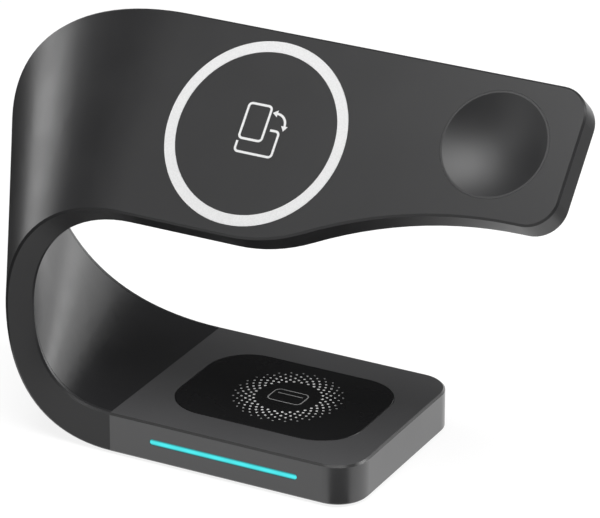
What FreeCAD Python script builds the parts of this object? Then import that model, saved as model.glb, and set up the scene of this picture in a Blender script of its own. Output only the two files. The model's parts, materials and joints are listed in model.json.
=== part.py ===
import FreeCAD
import Part
import math
import os
from FreeCAD import Placement, Rotation, Vector
from Sketcher import Constraint

# Four-in-one wireless charger: a flat base with an earbud pad, a ribbon arm that curls up at the left,
# and a plate that leans back over the base with a phone ring and a watch dish.
# Millimetres, +Z up, +Y to the back. The origin is on the table under the middle of the base.

SIZES = {
    # base block
    "base_length": 80.0,
    "base_depth": 67.0,
    "base_corner_radius": 10.0,
    "base_wall": 2.0,
    "base_top_wall": 2.6,
    "edge_chamfer": 0.6,
    "fit_clearance": 0.15,
    # bottom cover, rubber pad and screws
    "base_cover_thickness": 2.0,
    "pad_proud": 0.6,
    "pad_recess": 0.6,
    "pad_gap": 1.8,
    "pad_corner_radius": 4.0,
    "boss_diameter": 5.0,
    "screw_shank_diameter": 2.0,
    "screw_head_diameter": 3.6,
    "screw_head_height": 1.0,
    "screw_length": 4.6,
    "screw_clearance": 0.05,
    "pilot_slack": 0.4,
    # earbud pad
    "panel_length": 60.6,
    "panel_width": 43.4,
    "panel_corner_radius": 13.4,
    "panel_thickness": 1.2,
    "panel_edge": 0.2,
    "earbud_coil_diameter": 40.0,
    "earbud_coil_bore": 18.0,
    "coil_thickness": 1.2,
    "ferrite_thickness": 0.6,
    "ferrite_margin": 1.0,
    # light bar in the front wall
    "light_bar_left": 13.6,
    "light_bar_right": 18.2,
    "light_bar_height": 1.6,
    "light_bar_flat": 0.2,
    "light_bar_rise": 6.45,
    "light_flange_margin": 1.2,
    "light_flange_thickness": 1.0,
    "light_board_gap": 1.2,
    "light_board_thickness": 1.0,
    "light_chip_length": 3.0,
    "light_chip_height": 1.6,
    "light_chip_thickness": 0.8,
    "light_chip_gap": 0.2,
    # main board and charging socket
    "board_thickness": 1.2,
    "board_seam_gap": 4.0,
    "board_side_gap": 1.3,
    "board_front_gap": 6.0,
    "board_rear_gap": 0.3,
    "board_lift": 1.6,
    "board_boss_diameter": 4.0,
    "board_boss_inset": 3.0,
    "component_gap": 1.0,
    "row_gap": 3.5,
    "chip_side": 7.0,
    "chip_height": 1.0,
    "inductor_side": 8.0,
    "inductor_height": 2.4,
    "capacitor_side": 3.5,
    "capacitor_height": 2.0,
    "socket_width": 8.94,
    "socket_height": 3.26,
    "socket_flat": 0.26,
    "socket_depth": 7.4,
    "socket_wall": 0.3,
    "socket_setback": 0.4,
    "socket_tongue_width": 6.7,
    "socket_tongue_thickness": 0.7,
    "socket_tongue_setback": 1.0,
    # ribbon arm: plan reach to the left of the seam, and the bend's fullness
    "bend_reach_front": 34.7,
    "bend_reach_rear": 64.0,
    "bend_thickness": 7.8,
    "bend_end": 4.6,
    "bend_fullness_low": 0.95,
    "bend_fullness_high": 0.81,
    "arm_wall": 1.8,
    "arm_cover_thickness": 1.8,
    "arm_tongue_length": 10.0,
    "arm_tongue_root": 6.0,
    "arm_tongue_thickness": 2.2,
    "arm_tongue_gap": 2.5,
    "arm_screw_reach": 5.4,
    "arm_screw_spacing": 22.0,
    "arm_window_height": 5.0,
    "arm_window_margin": 0.5,
    "arm_window_corner": 0.8,
    "arm_cable_width": 6.0,
    "arm_cable_thickness": 0.8,
    "arm_cable_gap": 0.1,
    "arm_cable_side_gap": 0.3,
    "arm_cable_overlap": 0.5,
    "arm_cable_end_gap": 0.3,
    # leaning plate
    "plate_tilt": 41.2,
    "plate_foot_height": 77.5,
    "plate_corner_radius": 9.0,
    "tail_flat": 2.0,
    "wave_shift": 2.2,
    "wave_hollow": 22.0,
    "module_gap": 0.8,
    "post_diameter": 4.0,
    "post_gap": 0.7,
    "post_spacing": 14.0,
    # phone ring and its module
    "ring_diameter": 56.0,
    "ring_band": 3.3,
    "ring_depth": 0.8,
    "ring_clearance": 0.08,
    "ring_margin": 3.2,
    "ring_root_gap": 9.8,
    "ring_dish_gap": 27.5,
    "phone_coil_bore": 20.0,
    "phone_ferrite_gap": 1.1,
    "magnet_inset": 0.5,
    "magnet_band": 4.4,
    "magnet_thickness": 1.4,
    "magnet_slot": 1.0,
    # watch dish and its module
    "dish_diameter": 32.0,
    "dish_depth": 3.2,
    "dish_rim": 0.6,
    "dish_floor": 1.4,
    "dish_cup_margin": 2.0,
    "dish_flange": 1.6,
    "dish_flange_thickness": 0.8,
    "dish_top_gap": 4.5,
    "dish_low_gap": 5.4,
    "dish_tail_gap": 7.7,
    "watch_coil_margin": 1.5,
    "watch_magnet_diameter": 10.0,
    "watch_magnet_gap": 0.5,
    # plate board and the watch lead
    "plate_board_run": 1.0,
    "plate_board_width": 8.0,
    "plate_board_thickness": 1.0,
    "plate_board_gap": 1.0,
    "watch_lead_width": 3.0,
    "watch_lead_thickness": 0.6,
    "watch_lead_overlap": 4.0,
    "watch_lead_side_gap": 0.3,
    "watch_lead_gap": 0.1,
}

MAGNET_SPOKES = 9
LIGHT_CHIPS = 6
BOARD_CHIPS = 3
BOARD_INDUCTORS = 3
BOARD_CAPACITORS = 6
OVERRUN = 1.0
TOLERANCE = 0.001

doc = FreeCAD.newDocument("wireless_charger")
sheet = doc.addObject("Spreadsheet::Sheet", "Sizes")
for row, (alias, number) in enumerate(SIZES.items(), start=1):
    sheet.set("A%d" % row, alias)
    sheet.set("B%d" % row, str(number))
    sheet.setAlias("B%d" % row, alias)
doc.recompute()


def size(alias):
    """A driving dimension, read from the sheet."""
    return float(sheet.get(alias))


def amount(expression):
    """The present value of an expression on the sheet."""
    result = sheet.evalExpression(expression)
    return float(getattr(result, "Value", result))


# Sizes and places that follow from the sheet, kept as expressions on it
HALF_LENGTH = "(Sizes.base_length / 2)"
HALF_DEPTH = "(Sizes.base_depth / 2)"

# Heights in the base, from the table up
UNDER = "Sizes.pad_proud"
COVER_TOP = "(%s + Sizes.base_cover_thickness)" % UNDER
BOARD_UNDER = "(%s + Sizes.board_lift)" % COVER_TOP
BOARD_TOP = "(%s + Sizes.board_thickness)" % BOARD_UNDER
FERRITE_UNDER = "(%s + Sizes.inductor_height + Sizes.component_gap)" % BOARD_TOP
COIL_UNDER = "(%s + Sizes.ferrite_thickness)" % FERRITE_UNDER
CEILING = "(%s + Sizes.coil_thickness)" % COIL_UNDER
TOP = "(%s + Sizes.base_top_wall)" % CEILING
BASE_HEIGHT = "(%s - %s)" % (TOP, UNDER)

# Screw bosses, tucked into the base's round corners
BOSS_WAY = "(Sizes.base_corner_radius - Sizes.base_wall - Sizes.fit_clearance - Sizes.boss_diameter / 2)"
BOSS_INSET = "(Sizes.base_corner_radius - %s / sqrt(2))" % BOSS_WAY
BOSS_X = "(%s - %s)" % (HALF_LENGTH, BOSS_INSET)
BOSS_Y = "(%s - %s)" % (HALF_DEPTH, BOSS_INSET)
SCREW_HOLE = "(Sizes.screw_shank_diameter / 2 + Sizes.screw_clearance)"
SCREW_SEAT = "(Sizes.screw_head_diameter / 2 + Sizes.screw_clearance)"
PAD_MARGIN = "(Sizes.arm_screw_reach + Sizes.screw_head_diameter / 2 + Sizes.pad_gap)"
PAD_LENGTH = "(Sizes.base_length - 2 * %s)" % PAD_MARGIN
PAD_WIDTH = "(Sizes.base_depth - 2 * %s)" % PAD_MARGIN

# Light bar, its chips and its board
LIGHT_LENGTH = "(Sizes.base_length - Sizes.light_bar_left - Sizes.light_bar_right)"
LIGHT_X = "((Sizes.light_bar_left - Sizes.light_bar_right) / 2)"
LIGHT_Z = "(%s + Sizes.light_bar_rise)" % UNDER
LIGHT_CORNER = "((Sizes.light_bar_height - Sizes.light_bar_flat) / 2)"
LIGHT_CHIP_Y = "(Sizes.base_wall + Sizes.light_flange_thickness + Sizes.light_chip_gap - %s)" % HALF_DEPTH
LIGHT_BOARD_Y = "(%s + Sizes.light_chip_thickness)" % LIGHT_CHIP_Y

# Charging socket and main board
SOCKET_Z = "(%s + Sizes.socket_height / 2)" % BOARD_TOP
SOCKET_CORNER = "((Sizes.socket_height - Sizes.socket_flat) / 2)"
SOCKET_MOUTH = "(%s - Sizes.socket_setback)" % HALF_DEPTH
SOCKET_END = "(%s - Sizes.socket_depth)" % SOCKET_MOUTH
BOARD_LEFT = "(Sizes.arm_tongue_length + Sizes.board_seam_gap - %s)" % HALF_LENGTH
BOARD_RIGHT = "(%s - Sizes.boss_diameter / 2 - Sizes.board_side_gap)" % BOSS_X
BOARD_FRONT = "(%s + Sizes.light_board_thickness + Sizes.board_front_gap)" % LIGHT_BOARD_Y
BOARD_REAR = "(%s - Sizes.base_wall - Sizes.board_rear_gap)" % HALF_DEPTH
BOARD_LENGTH = "(%s - %s)" % (BOARD_RIGHT, BOARD_LEFT)
BOARD_X = "((%s + %s) / 2)" % (BOARD_LEFT, BOARD_RIGHT)
CAPACITOR_Y = "(%s - Sizes.row_gap - Sizes.capacitor_side)" % SOCKET_END
INDUCTOR_Y = "(%s - Sizes.row_gap - Sizes.inductor_side)" % CAPACITOR_Y
CHIP_Y = "(%s - Sizes.row_gap - Sizes.chip_side)" % INDUCTOR_Y

# Arm tongue and flat cable, side by side in the base's left wall
CABLE_REAR = "(%s - Sizes.boss_diameter / 2 - Sizes.arm_cable_side_gap)" % BOSS_Y
CABLE_FRONT = "(%s - Sizes.arm_cable_width)" % CABLE_REAR
TONGUE_SIDE = "(%s - Sizes.arm_tongue_gap)" % CABLE_FRONT

# Plate: places along it from the seam, and up from its lower edge
PLATE_WIDTH = "(Sizes.ring_diameter + 2 * Sizes.ring_margin)"
DISH_FLOOR = "(Sizes.dish_depth + Sizes.dish_floor)"
WATCH_STACK = "(Sizes.coil_thickness + Sizes.ferrite_thickness)"
COVER_DEPTH = "(%s + %s + Sizes.module_gap)" % (DISH_FLOOR, WATCH_STACK)
PLATE_THICKNESS = "(%s + Sizes.arm_cover_thickness)" % COVER_DEPTH
RING_X = "(Sizes.ring_root_gap + Sizes.ring_diameter / 2)"
RING_RISE = "(%s / 2)" % PLATE_WIDTH
DISH_X = "(%s + Sizes.ring_diameter / 2 + Sizes.ring_dish_gap + Sizes.dish_diameter / 2)" % RING_X
DISH_RISE = "(%s - Sizes.dish_top_gap - Sizes.dish_diameter / 2)" % PLATE_WIDTH
PLATE_REACH = "(%s + Sizes.dish_diameter / 2 + Sizes.dish_tail_gap)" % DISH_X
TAIL_RISE = "(%s - Sizes.dish_diameter / 2 - Sizes.dish_low_gap)" % DISH_RISE

# Radii in the phone and watch modules
MAGNET_OUTER = "(Sizes.ring_diameter / 2 - Sizes.magnet_inset)"
MAGNET_INNER = "(%s - Sizes.magnet_band)" % MAGNET_OUTER
PHONE_FERRITE = "(%s - Sizes.phone_ferrite_gap)" % MAGNET_INNER
PHONE_COIL = "(%s - Sizes.ferrite_margin)" % PHONE_FERRITE
DISH_CUP = "(Sizes.dish_diameter / 2 - Sizes.dish_cup_margin)"
WATCH_COIL = "(%s - Sizes.watch_coil_margin)" % DISH_CUP
WATCH_FERRITE = "(%s + Sizes.ferrite_margin)" % WATCH_COIL
WATCH_BORE = "(Sizes.watch_magnet_diameter / 2 + Sizes.watch_magnet_gap)"

# Reference places as numbers, for the placements and the ruled shapes
SEAM_X = -amount(HALF_LENGTH)
FRONT_Y = -amount(HALF_DEPTH)
REAR_Y = amount(HALF_DEPTH)
UNDER_Z = amount(UNDER)
COVER_TOP_Z = amount(COVER_TOP)
TOP_Z = amount(TOP)
TILT = math.radians(size("plate_tilt"))
PLATE_UP = Vector(0, math.sin(TILT), math.cos(TILT))
PLATE_OUT = Vector(0, -math.cos(TILT), math.sin(TILT))
PLATE_FOOT = Vector(SEAM_X, FRONT_Y, UNDER_Z + size("plate_foot_height"))
PLATE_TURN = Rotation(Vector(1, 0, 0), 90 - size("plate_tilt"))


# Helpers: sketches and bodies

def new_body(label):
    """An empty body whose label names its file."""
    body = doc.addObject("PartDesign::Body", label)
    body.Label = label
    return body


def new_sketch(body, name, role, lift):
    """A sketch on one of the body's own origin planes, lifted along its normal."""
    sketch = body.newObject("Sketcher::SketchObject", body.Label + "_" + name)
    for plane in body.Origin.OriginFeatures:
        if plane.Role == role:
            sketch.AttachmentSupport = [(plane, "")]
    sketch.MapMode = "FlatFace"
    sketch.setExpression("AttachmentOffset.Base.z", lift)
    return sketch


def bind(sketch, constraint, expression):
    """Add one dimension and tie it to the sheet."""
    index = sketch.addConstraint(constraint)
    sketch.setExpression("Constraints[%d]" % index, expression)


def add_arc(sketch, center_x, center_y, radius, start_deg):
    """A quarter arc that starts at start_deg and runs anticlockwise."""
    circle = Part.Circle(Vector(center_x, center_y, 0), Vector(0, 0, 1), radius)
    start = math.radians(start_deg)
    return sketch.addGeometry(Part.ArcOfCircle(circle, start, start + math.pi / 2), False)


def add_line(sketch, x0, y0, x1, y1):
    """A straight side."""
    return sketch.addGeometry(Part.LineSegment(Vector(x0, y0, 0), Vector(x1, y1, 0)), False)


def add_rounded_rectangle(sketch, x_mid, y_mid, length, width, radius):
    """A rectangle with four equal round corners, every size tied to the sheet."""
    x = amount(x_mid)
    y = amount(y_mid)
    a = amount(length) / 2
    b = amount(width) / 2
    r = amount(radius)
    bottom = add_line(sketch, x - a + r, y - b, x + a - r, y - b)
    corner = add_arc(sketch, x + a - r, y - b + r, r, -90)
    right = add_line(sketch, x + a, y - b + r, x + a, y + b - r)
    corner_b = add_arc(sketch, x + a - r, y + b - r, r, 0)
    top = add_line(sketch, x + a - r, y + b, x - a + r, y + b)
    corner_c = add_arc(sketch, x - a + r, y + b - r, r, 90)
    left = add_line(sketch, x - a, y + b - r, x - a, y - b + r)
    corner_d = add_arc(sketch, x - a + r, y - b + r, r, 180)
    loop = [bottom, corner, right, corner_b, top, corner_c, left, corner_d]
    for here, following in zip(loop, loop[1:] + loop[:1]):
        sketch.addConstraint(Constraint("Tangent", here, 2, following, 1))
    for side in (bottom, top):
        sketch.addConstraint(Constraint("Horizontal", side))
    for side in (left, right):
        sketch.addConstraint(Constraint("Vertical", side))
    for other in (corner_b, corner_c, corner_d):
        sketch.addConstraint(Constraint("Equal", corner, other))
    bind(sketch, Constraint("Radius", corner, r), radius)
    bind(sketch, Constraint("DistanceX", left, 1, right, 1, 2 * a), length)
    bind(sketch, Constraint("DistanceY", bottom, 1, top, 1, 2 * b), width)
    bind(sketch, Constraint("DistanceX", -1, 1, left, 1, x - a), "(%s) - (%s) / 2" % (x_mid, length))
    bind(sketch, Constraint("DistanceY", -1, 1, bottom, 1, y - b), "(%s) - (%s) / 2" % (y_mid, width))


def add_base_outline(sketch, inset, radius):
    """The base's outline set in by inset: square at the seam, round at the right."""
    i = amount(inset)
    r = amount(radius)
    x0 = SEAM_X + i
    x1 = -SEAM_X - i
    y0 = FRONT_Y + i
    y1 = REAR_Y - i
    front = add_line(sketch, x0, y0, x1 - r, y0)
    corner = add_arc(sketch, x1 - r, y0 + r, r, -90)
    right = add_line(sketch, x1, y0 + r, x1, y1 - r)
    corner_b = add_arc(sketch, x1 - r, y1 - r, r, 0)
    rear = add_line(sketch, x1 - r, y1, x0, y1)
    seam = add_line(sketch, x0, y1, x0, y0)
    loop = [front, corner, right, corner_b, rear]
    for here, following in zip(loop, loop[1:]):
        sketch.addConstraint(Constraint("Tangent", here, 2, following, 1))
    sketch.addConstraint(Constraint("Coincident", rear, 2, seam, 1))
    sketch.addConstraint(Constraint("Coincident", seam, 2, front, 1))
    for side in (front, rear):
        sketch.addConstraint(Constraint("Horizontal", side))
    for side in (right, seam):
        sketch.addConstraint(Constraint("Vertical", side))
    sketch.addConstraint(Constraint("Equal", corner, corner_b))
    bind(sketch, Constraint("Radius", corner, r), radius)
    bind(sketch, Constraint("DistanceX", -1, 1, seam, 1, x0), "(%s) - %s" % (inset, HALF_LENGTH))
    bind(sketch, Constraint("DistanceX", -1, 1, right, 1, x1), "%s - (%s)" % (HALF_LENGTH, inset))
    bind(sketch, Constraint("DistanceY", -1, 1, front, 1, y0), "(%s) - %s" % (inset, HALF_DEPTH))
    bind(sketch, Constraint("DistanceY", -1, 1, rear, 1, y1), "%s - (%s)" % (HALF_DEPTH, inset))


def add_circle(sketch, x, y, radius):
    """A circle whose centre and radius are tied to the sheet."""
    cx = amount(x)
    cy = amount(y)
    r = amount(radius)
    ring = sketch.addGeometry(Part.Circle(Vector(cx, cy, 0), Vector(0, 0, 1), r), False)
    bind(sketch, Constraint("Radius", ring, r), radius)
    bind(sketch, Constraint("DistanceX", -1, 1, ring, 3, cx), x)
    bind(sketch, Constraint("DistanceY", -1, 1, ring, 3, cy), y)


def pad(body, sketch, length, reverse=False):
    """Raise a sketch along its normal, or against it."""
    feature = body.newObject("PartDesign::Pad", sketch.Name + "_pad")
    feature.Profile = sketch
    feature.setExpression("Length", length)
    feature.Reversed = reverse
    doc.recompute()
    return feature


def pocket(body, sketch, length, reverse=False):
    """Cut a sketch against its normal, or along it, and see that it cut."""
    before = body.Shape.Volume
    feature = body.newObject("PartDesign::Pocket", sketch.Name + "_pocket")
    feature.Profile = sketch
    feature.setExpression("Length", length)
    feature.Reversed = reverse
    doc.recompute()
    if not body.Shape.Volume < before:
        raise RuntimeError("%s cuts nothing" % sketch.Name)
    return feature


def chamfer(body, base, edges, width):
    """Break the named edges of a feature."""
    feature = body.newObject("PartDesign::Chamfer", body.Label + "_chamfer")
    feature.Base = (base, edges)
    feature.setExpression("Size", width)
    doc.recompute()
    return feature


def level_edges(shape, level, skip_x=None):
    """Names of the edges that lie at one height, but for those at skip_x."""
    names = []
    for index, edge in enumerate(shape.Edges, start=1):
        box = edge.BoundBox
        at_level = abs(box.ZMin - level) < TOLERANCE and abs(box.ZMax - level) < TOLERANCE
        at_skip = skip_x is not None and abs(box.XMax - skip_x) < TOLERANCE
        if at_level and not at_skip:
            names.append("Edge%d" % index)
    return names


# Helpers: primitives and booleans

def block(label, x, y, z, length, width, height):
    """A box from its low corner, every value an expression on the sheet."""
    box = doc.addObject("Part::Box", label)
    box.Label = label
    box.setExpression("Placement.Base.x", x)
    box.setExpression("Placement.Base.y", y)
    box.setExpression("Placement.Base.z", z)
    box.setExpression("Length", length)
    box.setExpression("Width", width)
    box.setExpression("Height", height)
    return box


def rod(label, radius, height, place):
    """A cylinder at a placement, its sizes tied to the sheet."""
    cylinder = doc.addObject("Part::Cylinder", label)
    cylinder.Label = label
    cylinder.setExpression("Radius", radius)
    cylinder.setExpression("Height", height)
    cylinder.Placement = place
    return cylinder


def cut(label, base, tool):
    """One object less another."""
    result = doc.addObject("Part::Cut", label)
    result.Label = label
    result.Base = base
    result.Tool = tool
    return result


def fuse(label, pieces):
    """Several objects as one solid."""
    result = doc.addObject("Part::MultiFuse", label)
    result.Label = label
    result.Shapes = pieces
    return result


def group(label, pieces):
    """Several like solids in one node."""
    result = doc.addObject("Part::Compound", label)
    result.Label = label
    result.Links = pieces
    return result


def tube(label, outer, bore, height, place):
    """A flat ring: a cylinder with a bore."""
    body = rod(label + "_body", outer, height, place)
    below = place.multiply(Placement(Vector(0, 0, -OVERRUN), Rotation()))
    hole = rod(label + "_bore", bore, "(%s) + 2 * %g" % (height, OVERRUN), below)
    return cut(label, body, hole)


def feature(label, shape):
    """A shape that only formula-built faces can give."""
    result = doc.addObject("Part::Feature", label)
    result.Label = label
    result.Shape = shape
    return result


def on_plate(along, rise, depth):
    """A placement on the plate: right of the seam, up from its foot, and behind its front face."""
    spot = PLATE_FOOT + Vector(along, 0, 0) + PLATE_UP * rise - PLATE_OUT * depth
    return Placement(spot, PLATE_TURN)


# Base housing: an open-bottomed shell with the panel recess, light slot, socket slot and arm window

def boss_circles(sketch, radius):
    """Four circles on the corner screws."""
    for sign_x in ("-", ""):
        for sign_y in ("-", ""):
            add_circle(sketch, sign_x + BOSS_X, sign_y + BOSS_Y, radius)


def arm_screw_circles(sketch, radius):
    """Two circles on the arm's screws."""
    x = "(Sizes.arm_screw_reach - %s)" % HALF_LENGTH
    for sign in ("-", ""):
        add_circle(sketch, x, sign + "Sizes.arm_screw_spacing / 2", radius)


def make_base_housing():
    body = new_body("base_housing")
    outline = new_sketch(body, "outline", "XY_Plane", UNDER)
    add_base_outline(outline, "0", "Sizes.base_corner_radius")
    block_pad = pad(body, outline, BASE_HEIGHT)
    rim = level_edges(body.Shape, TOP_Z, SEAM_X) + level_edges(body.Shape, UNDER_Z, SEAM_X)
    chamfer(body, block_pad, rim, "Sizes.edge_chamfer")
    cavity = new_sketch(body, "cavity", "XY_Plane", CEILING)
    add_base_outline(cavity, "Sizes.base_wall", "Sizes.base_corner_radius - Sizes.base_wall")
    pocket(body, cavity, BASE_HEIGHT)
    bosses = new_sketch(body, "bosses", "XY_Plane", COVER_TOP)
    boss_circles(bosses, "Sizes.boss_diameter / 2")
    pad(body, bosses, "%s - %s" % (CEILING, COVER_TOP))
    pilots = new_sketch(body, "pilots", "XY_Plane", COVER_TOP)
    boss_circles(pilots, SCREW_HOLE)
    bite = "Sizes.screw_length + Sizes.screw_head_height - Sizes.base_cover_thickness + Sizes.pilot_slack"
    pocket(body, pilots, bite, reverse=True)
    around = "2 * Sizes.fit_clearance"
    recess = new_sketch(body, "recess", "XY_Plane", TOP)
    add_rounded_rectangle(recess, "0", "0", "Sizes.panel_length + " + around, "Sizes.panel_width + " + around,
                          "Sizes.panel_corner_radius + Sizes.fit_clearance")
    pocket(body, recess, "Sizes.panel_thickness")
    light = new_sketch(body, "light_slot", "XZ_Plane", HALF_DEPTH)
    add_rounded_rectangle(light, LIGHT_X, LIGHT_Z, "%s + %s" % (LIGHT_LENGTH, around),
                          "Sizes.light_bar_height + " + around, LIGHT_CORNER + " + Sizes.fit_clearance")
    pocket(body, light, "Sizes.base_wall")
    socket = new_sketch(body, "socket_slot", "XZ_Plane", "-" + HALF_DEPTH)
    add_rounded_rectangle(socket, "0", SOCKET_Z, "Sizes.socket_width + " + around,
                          "Sizes.socket_height + " + around, SOCKET_CORNER + " + Sizes.fit_clearance")
    pocket(body, socket, "Sizes.base_wall", reverse=True)
    window = new_sketch(body, "arm_window", "YZ_Plane", "-" + HALF_LENGTH)
    low = "(-%s - Sizes.arm_window_margin)" % TONGUE_SIDE
    high = "(%s + Sizes.arm_window_margin)" % CABLE_REAR
    add_rounded_rectangle(window, "(%s + %s) / 2" % (low, high),
                          "%s + Sizes.arm_window_height / 2" % COVER_TOP,
                          "%s - %s" % (high, low), "Sizes.arm_window_height", "Sizes.arm_window_corner")
    pocket(body, window, "Sizes.base_wall", reverse=True)
    return body


# Bottom cover with its board bosses, screw holes and pad recess

def make_base_cover():
    body = new_body("base_cover")
    inset = "Sizes.base_wall + Sizes.fit_clearance"
    outline = new_sketch(body, "outline", "XY_Plane", UNDER)
    add_base_outline(outline, inset, "Sizes.base_corner_radius - (%s)" % inset)
    pad(body, outline, "Sizes.base_cover_thickness")
    recess = new_sketch(body, "pad_recess", "XY_Plane", UNDER)
    around = "2 * Sizes.fit_clearance"
    add_rounded_rectangle(recess, "0", "0", "%s + %s" % (PAD_LENGTH, around), "%s + %s" % (PAD_WIDTH, around),
                          "Sizes.pad_corner_radius + Sizes.fit_clearance")
    pocket(body, recess, "Sizes.pad_recess", reverse=True)
    bosses = new_sketch(body, "board_bosses", "XY_Plane", COVER_TOP)
    for x in (BOARD_LEFT + " + Sizes.board_boss_inset", BOARD_RIGHT + " - Sizes.board_boss_inset"):
        for y in (BOARD_FRONT + " + Sizes.board_boss_inset", BOARD_REAR + " - Sizes.board_boss_inset"):
            add_circle(bosses, x, y, "Sizes.board_boss_diameter / 2")
    pad(body, bosses, "Sizes.board_lift")
    holes = new_sketch(body, "screw_holes", "XY_Plane", UNDER)
    boss_circles(holes, SCREW_HOLE)
    arm_screw_circles(holes, SCREW_HOLE)
    pocket(body, holes, "Sizes.base_cover_thickness", reverse=True)
    seats = new_sketch(body, "screw_seats", "XY_Plane", UNDER)
    boss_circles(seats, SCREW_SEAT)
    arm_screw_circles(seats, SCREW_SEAT)
    pocket(body, seats, "Sizes.screw_head_height", reverse=True)
    return body


def make_antislip_pad():
    body = new_body("antislip_pad")
    outline = new_sketch(body, "outline", "XY_Plane", "0")
    add_rounded_rectangle(outline, "0", "0", PAD_LENGTH, PAD_WIDTH, "Sizes.pad_corner_radius")
    pad(body, outline, "Sizes.pad_proud + Sizes.pad_recess")
    return body


def make_screws(label, spots):
    """Screws driven up from below, with flush round heads."""
    screws = []
    for index, (x, y) in enumerate(spots):
        name = "%s_%d" % (label, index)
        foot = Placement(Vector(x, y, UNDER_Z), Rotation())
        seat = Placement(Vector(x, y, UNDER_Z + size("screw_head_height")), Rotation())
        head = rod(name + "_head", "Sizes.screw_head_diameter / 2", "Sizes.screw_head_height", foot)
        shank = rod(name + "_shank", "Sizes.screw_shank_diameter / 2", "Sizes.screw_length", seat)
        screws.append(fuse(name, [head, shank]))
    return group(label, screws)


def make_cover_screws():
    x = amount(BOSS_X)
    y = amount(BOSS_Y)
    return make_screws("cover_screws", [(-x, -y), (-x, y), (x, -y), (x, y)])


def make_arm_screws():
    x = SEAM_X + size("arm_screw_reach")
    y = size("arm_screw_spacing") / 2
    return make_screws("arm_screws", [(x, -y), (x, y)])


# Earbud pad: glossy panel, and the coil and ferrite under the base's top wall

def make_earbud_panel():
    body = new_body("earbud_panel")
    outline = new_sketch(body, "outline", "XY_Plane", TOP + " - Sizes.panel_thickness")
    add_rounded_rectangle(outline, "0", "0", "Sizes.panel_length", "Sizes.panel_width",
                          "Sizes.panel_corner_radius")
    sheet_pad = pad(body, outline, "Sizes.panel_thickness")
    chamfer(body, sheet_pad, level_edges(body.Shape, TOP_Z), "Sizes.panel_edge")
    return body


def make_earbud_coil():
    place = Placement(Vector(0, 0, amount(COIL_UNDER)), Rotation())
    return tube("earbud_coil", "Sizes.earbud_coil_diameter / 2", "Sizes.earbud_coil_bore / 2",
                "Sizes.coil_thickness", place)


def make_earbud_ferrite():
    place = Placement(Vector(0, 0, amount(FERRITE_UNDER)), Rotation())
    return rod("earbud_ferrite", "Sizes.earbud_coil_diameter / 2 + Sizes.ferrite_margin",
               "Sizes.ferrite_thickness", place)


# Light bar with its board and chips

def make_light_bar():
    body = new_body("light_bar")
    bar = new_sketch(body, "bar", "XZ_Plane", HALF_DEPTH)
    add_rounded_rectangle(bar, LIGHT_X, LIGHT_Z, LIGHT_LENGTH, "Sizes.light_bar_height", LIGHT_CORNER)
    pad(body, bar, "Sizes.base_wall", reverse=True)
    flange = new_sketch(body, "flange", "XZ_Plane", HALF_DEPTH + " - Sizes.base_wall")
    add_rounded_rectangle(flange, LIGHT_X, LIGHT_Z, LIGHT_LENGTH + " + 2 * Sizes.light_flange_margin",
                          "Sizes.light_bar_height + 2 * Sizes.light_flange_margin",
                          LIGHT_CORNER + " + Sizes.light_flange_margin / 2")
    pad(body, flange, "Sizes.light_flange_thickness", reverse=True)
    return body


def make_light_board():
    return block("light_board", "%s - %s / 2" % (LIGHT_X, LIGHT_LENGTH), LIGHT_BOARD_Y, COVER_TOP,
                 LIGHT_LENGTH, "Sizes.light_board_thickness",
                 "%s - %s - Sizes.light_board_gap" % (CEILING, COVER_TOP))


def make_light_chips():
    chips = []
    for index in range(LIGHT_CHIPS):
        step = "(%g * %s)" % ((index + 0.5) / LIGHT_CHIPS - 0.5, LIGHT_LENGTH)
        chips.append(block("light_chip_%d" % index,
                           "%s + %s - Sizes.light_chip_length / 2" % (LIGHT_X, step),
                           LIGHT_CHIP_Y, LIGHT_Z + " - Sizes.light_chip_height / 2",
                           "Sizes.light_chip_length", "Sizes.light_chip_thickness",
                           "Sizes.light_chip_height"))
    return group("light_chips", chips)


# Main board, its components and the charging socket

def make_main_board():
    return block("main_board", BOARD_LEFT, BOARD_FRONT, BOARD_UNDER, BOARD_LENGTH,
                 "%s - %s" % (BOARD_REAR, BOARD_FRONT), "Sizes.board_thickness")


def make_component_row(label, count, kind, front):
    """A row of square components across the board, evenly spread."""
    pieces = []
    side = "Sizes.%s_side" % kind
    for index in range(count):
        step = "(%g * %s)" % ((index + 0.5) / count - 0.5, BOARD_LENGTH)
        pieces.append(block("%s_%d" % (label, index), "%s + %s - %s / 2" % (BOARD_X, step, side),
                            front, BOARD_TOP, side, side, "Sizes.%s_height" % kind))
    return group(label, pieces)


def make_usb_socket():
    body = new_body("usb_socket")
    shell = new_sketch(body, "shell", "XZ_Plane", "-" + SOCKET_MOUTH)
    add_rounded_rectangle(shell, "0", SOCKET_Z, "Sizes.socket_width", "Sizes.socket_height", SOCKET_CORNER)
    add_rounded_rectangle(shell, "0", SOCKET_Z, "Sizes.socket_width - 2 * Sizes.socket_wall",
                          "Sizes.socket_height - 2 * Sizes.socket_wall",
                          SOCKET_CORNER + " - Sizes.socket_wall")
    pad(body, shell, "Sizes.socket_depth")
    return body


def make_usb_tongue():
    width = "(Sizes.socket_width - 2 * %s)" % SOCKET_CORNER
    height = "(Sizes.socket_height - 2 * Sizes.socket_wall - 2 * Sizes.screw_clearance)"
    plug = block("usb_tongue_root", "-%s / 2" % width, SOCKET_END, "%s - %s / 2" % (SOCKET_Z, height),
                 width, "Sizes.socket_tongue_setback", height)
    blade = block("usb_tongue_blade", "-Sizes.socket_tongue_width / 2", SOCKET_END,
                  SOCKET_Z + " - Sizes.socket_tongue_thickness / 2", "Sizes.socket_tongue_width",
                  "Sizes.socket_depth - Sizes.socket_tongue_setback", "Sizes.socket_tongue_thickness")
    return fuse("usb_tongue", [plug, blade])


# Ribbon arm: each lengthwise edge of the bend is two conics from the base's seam to the plate,
# and every strip in the bend is ruled between such edges

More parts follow.
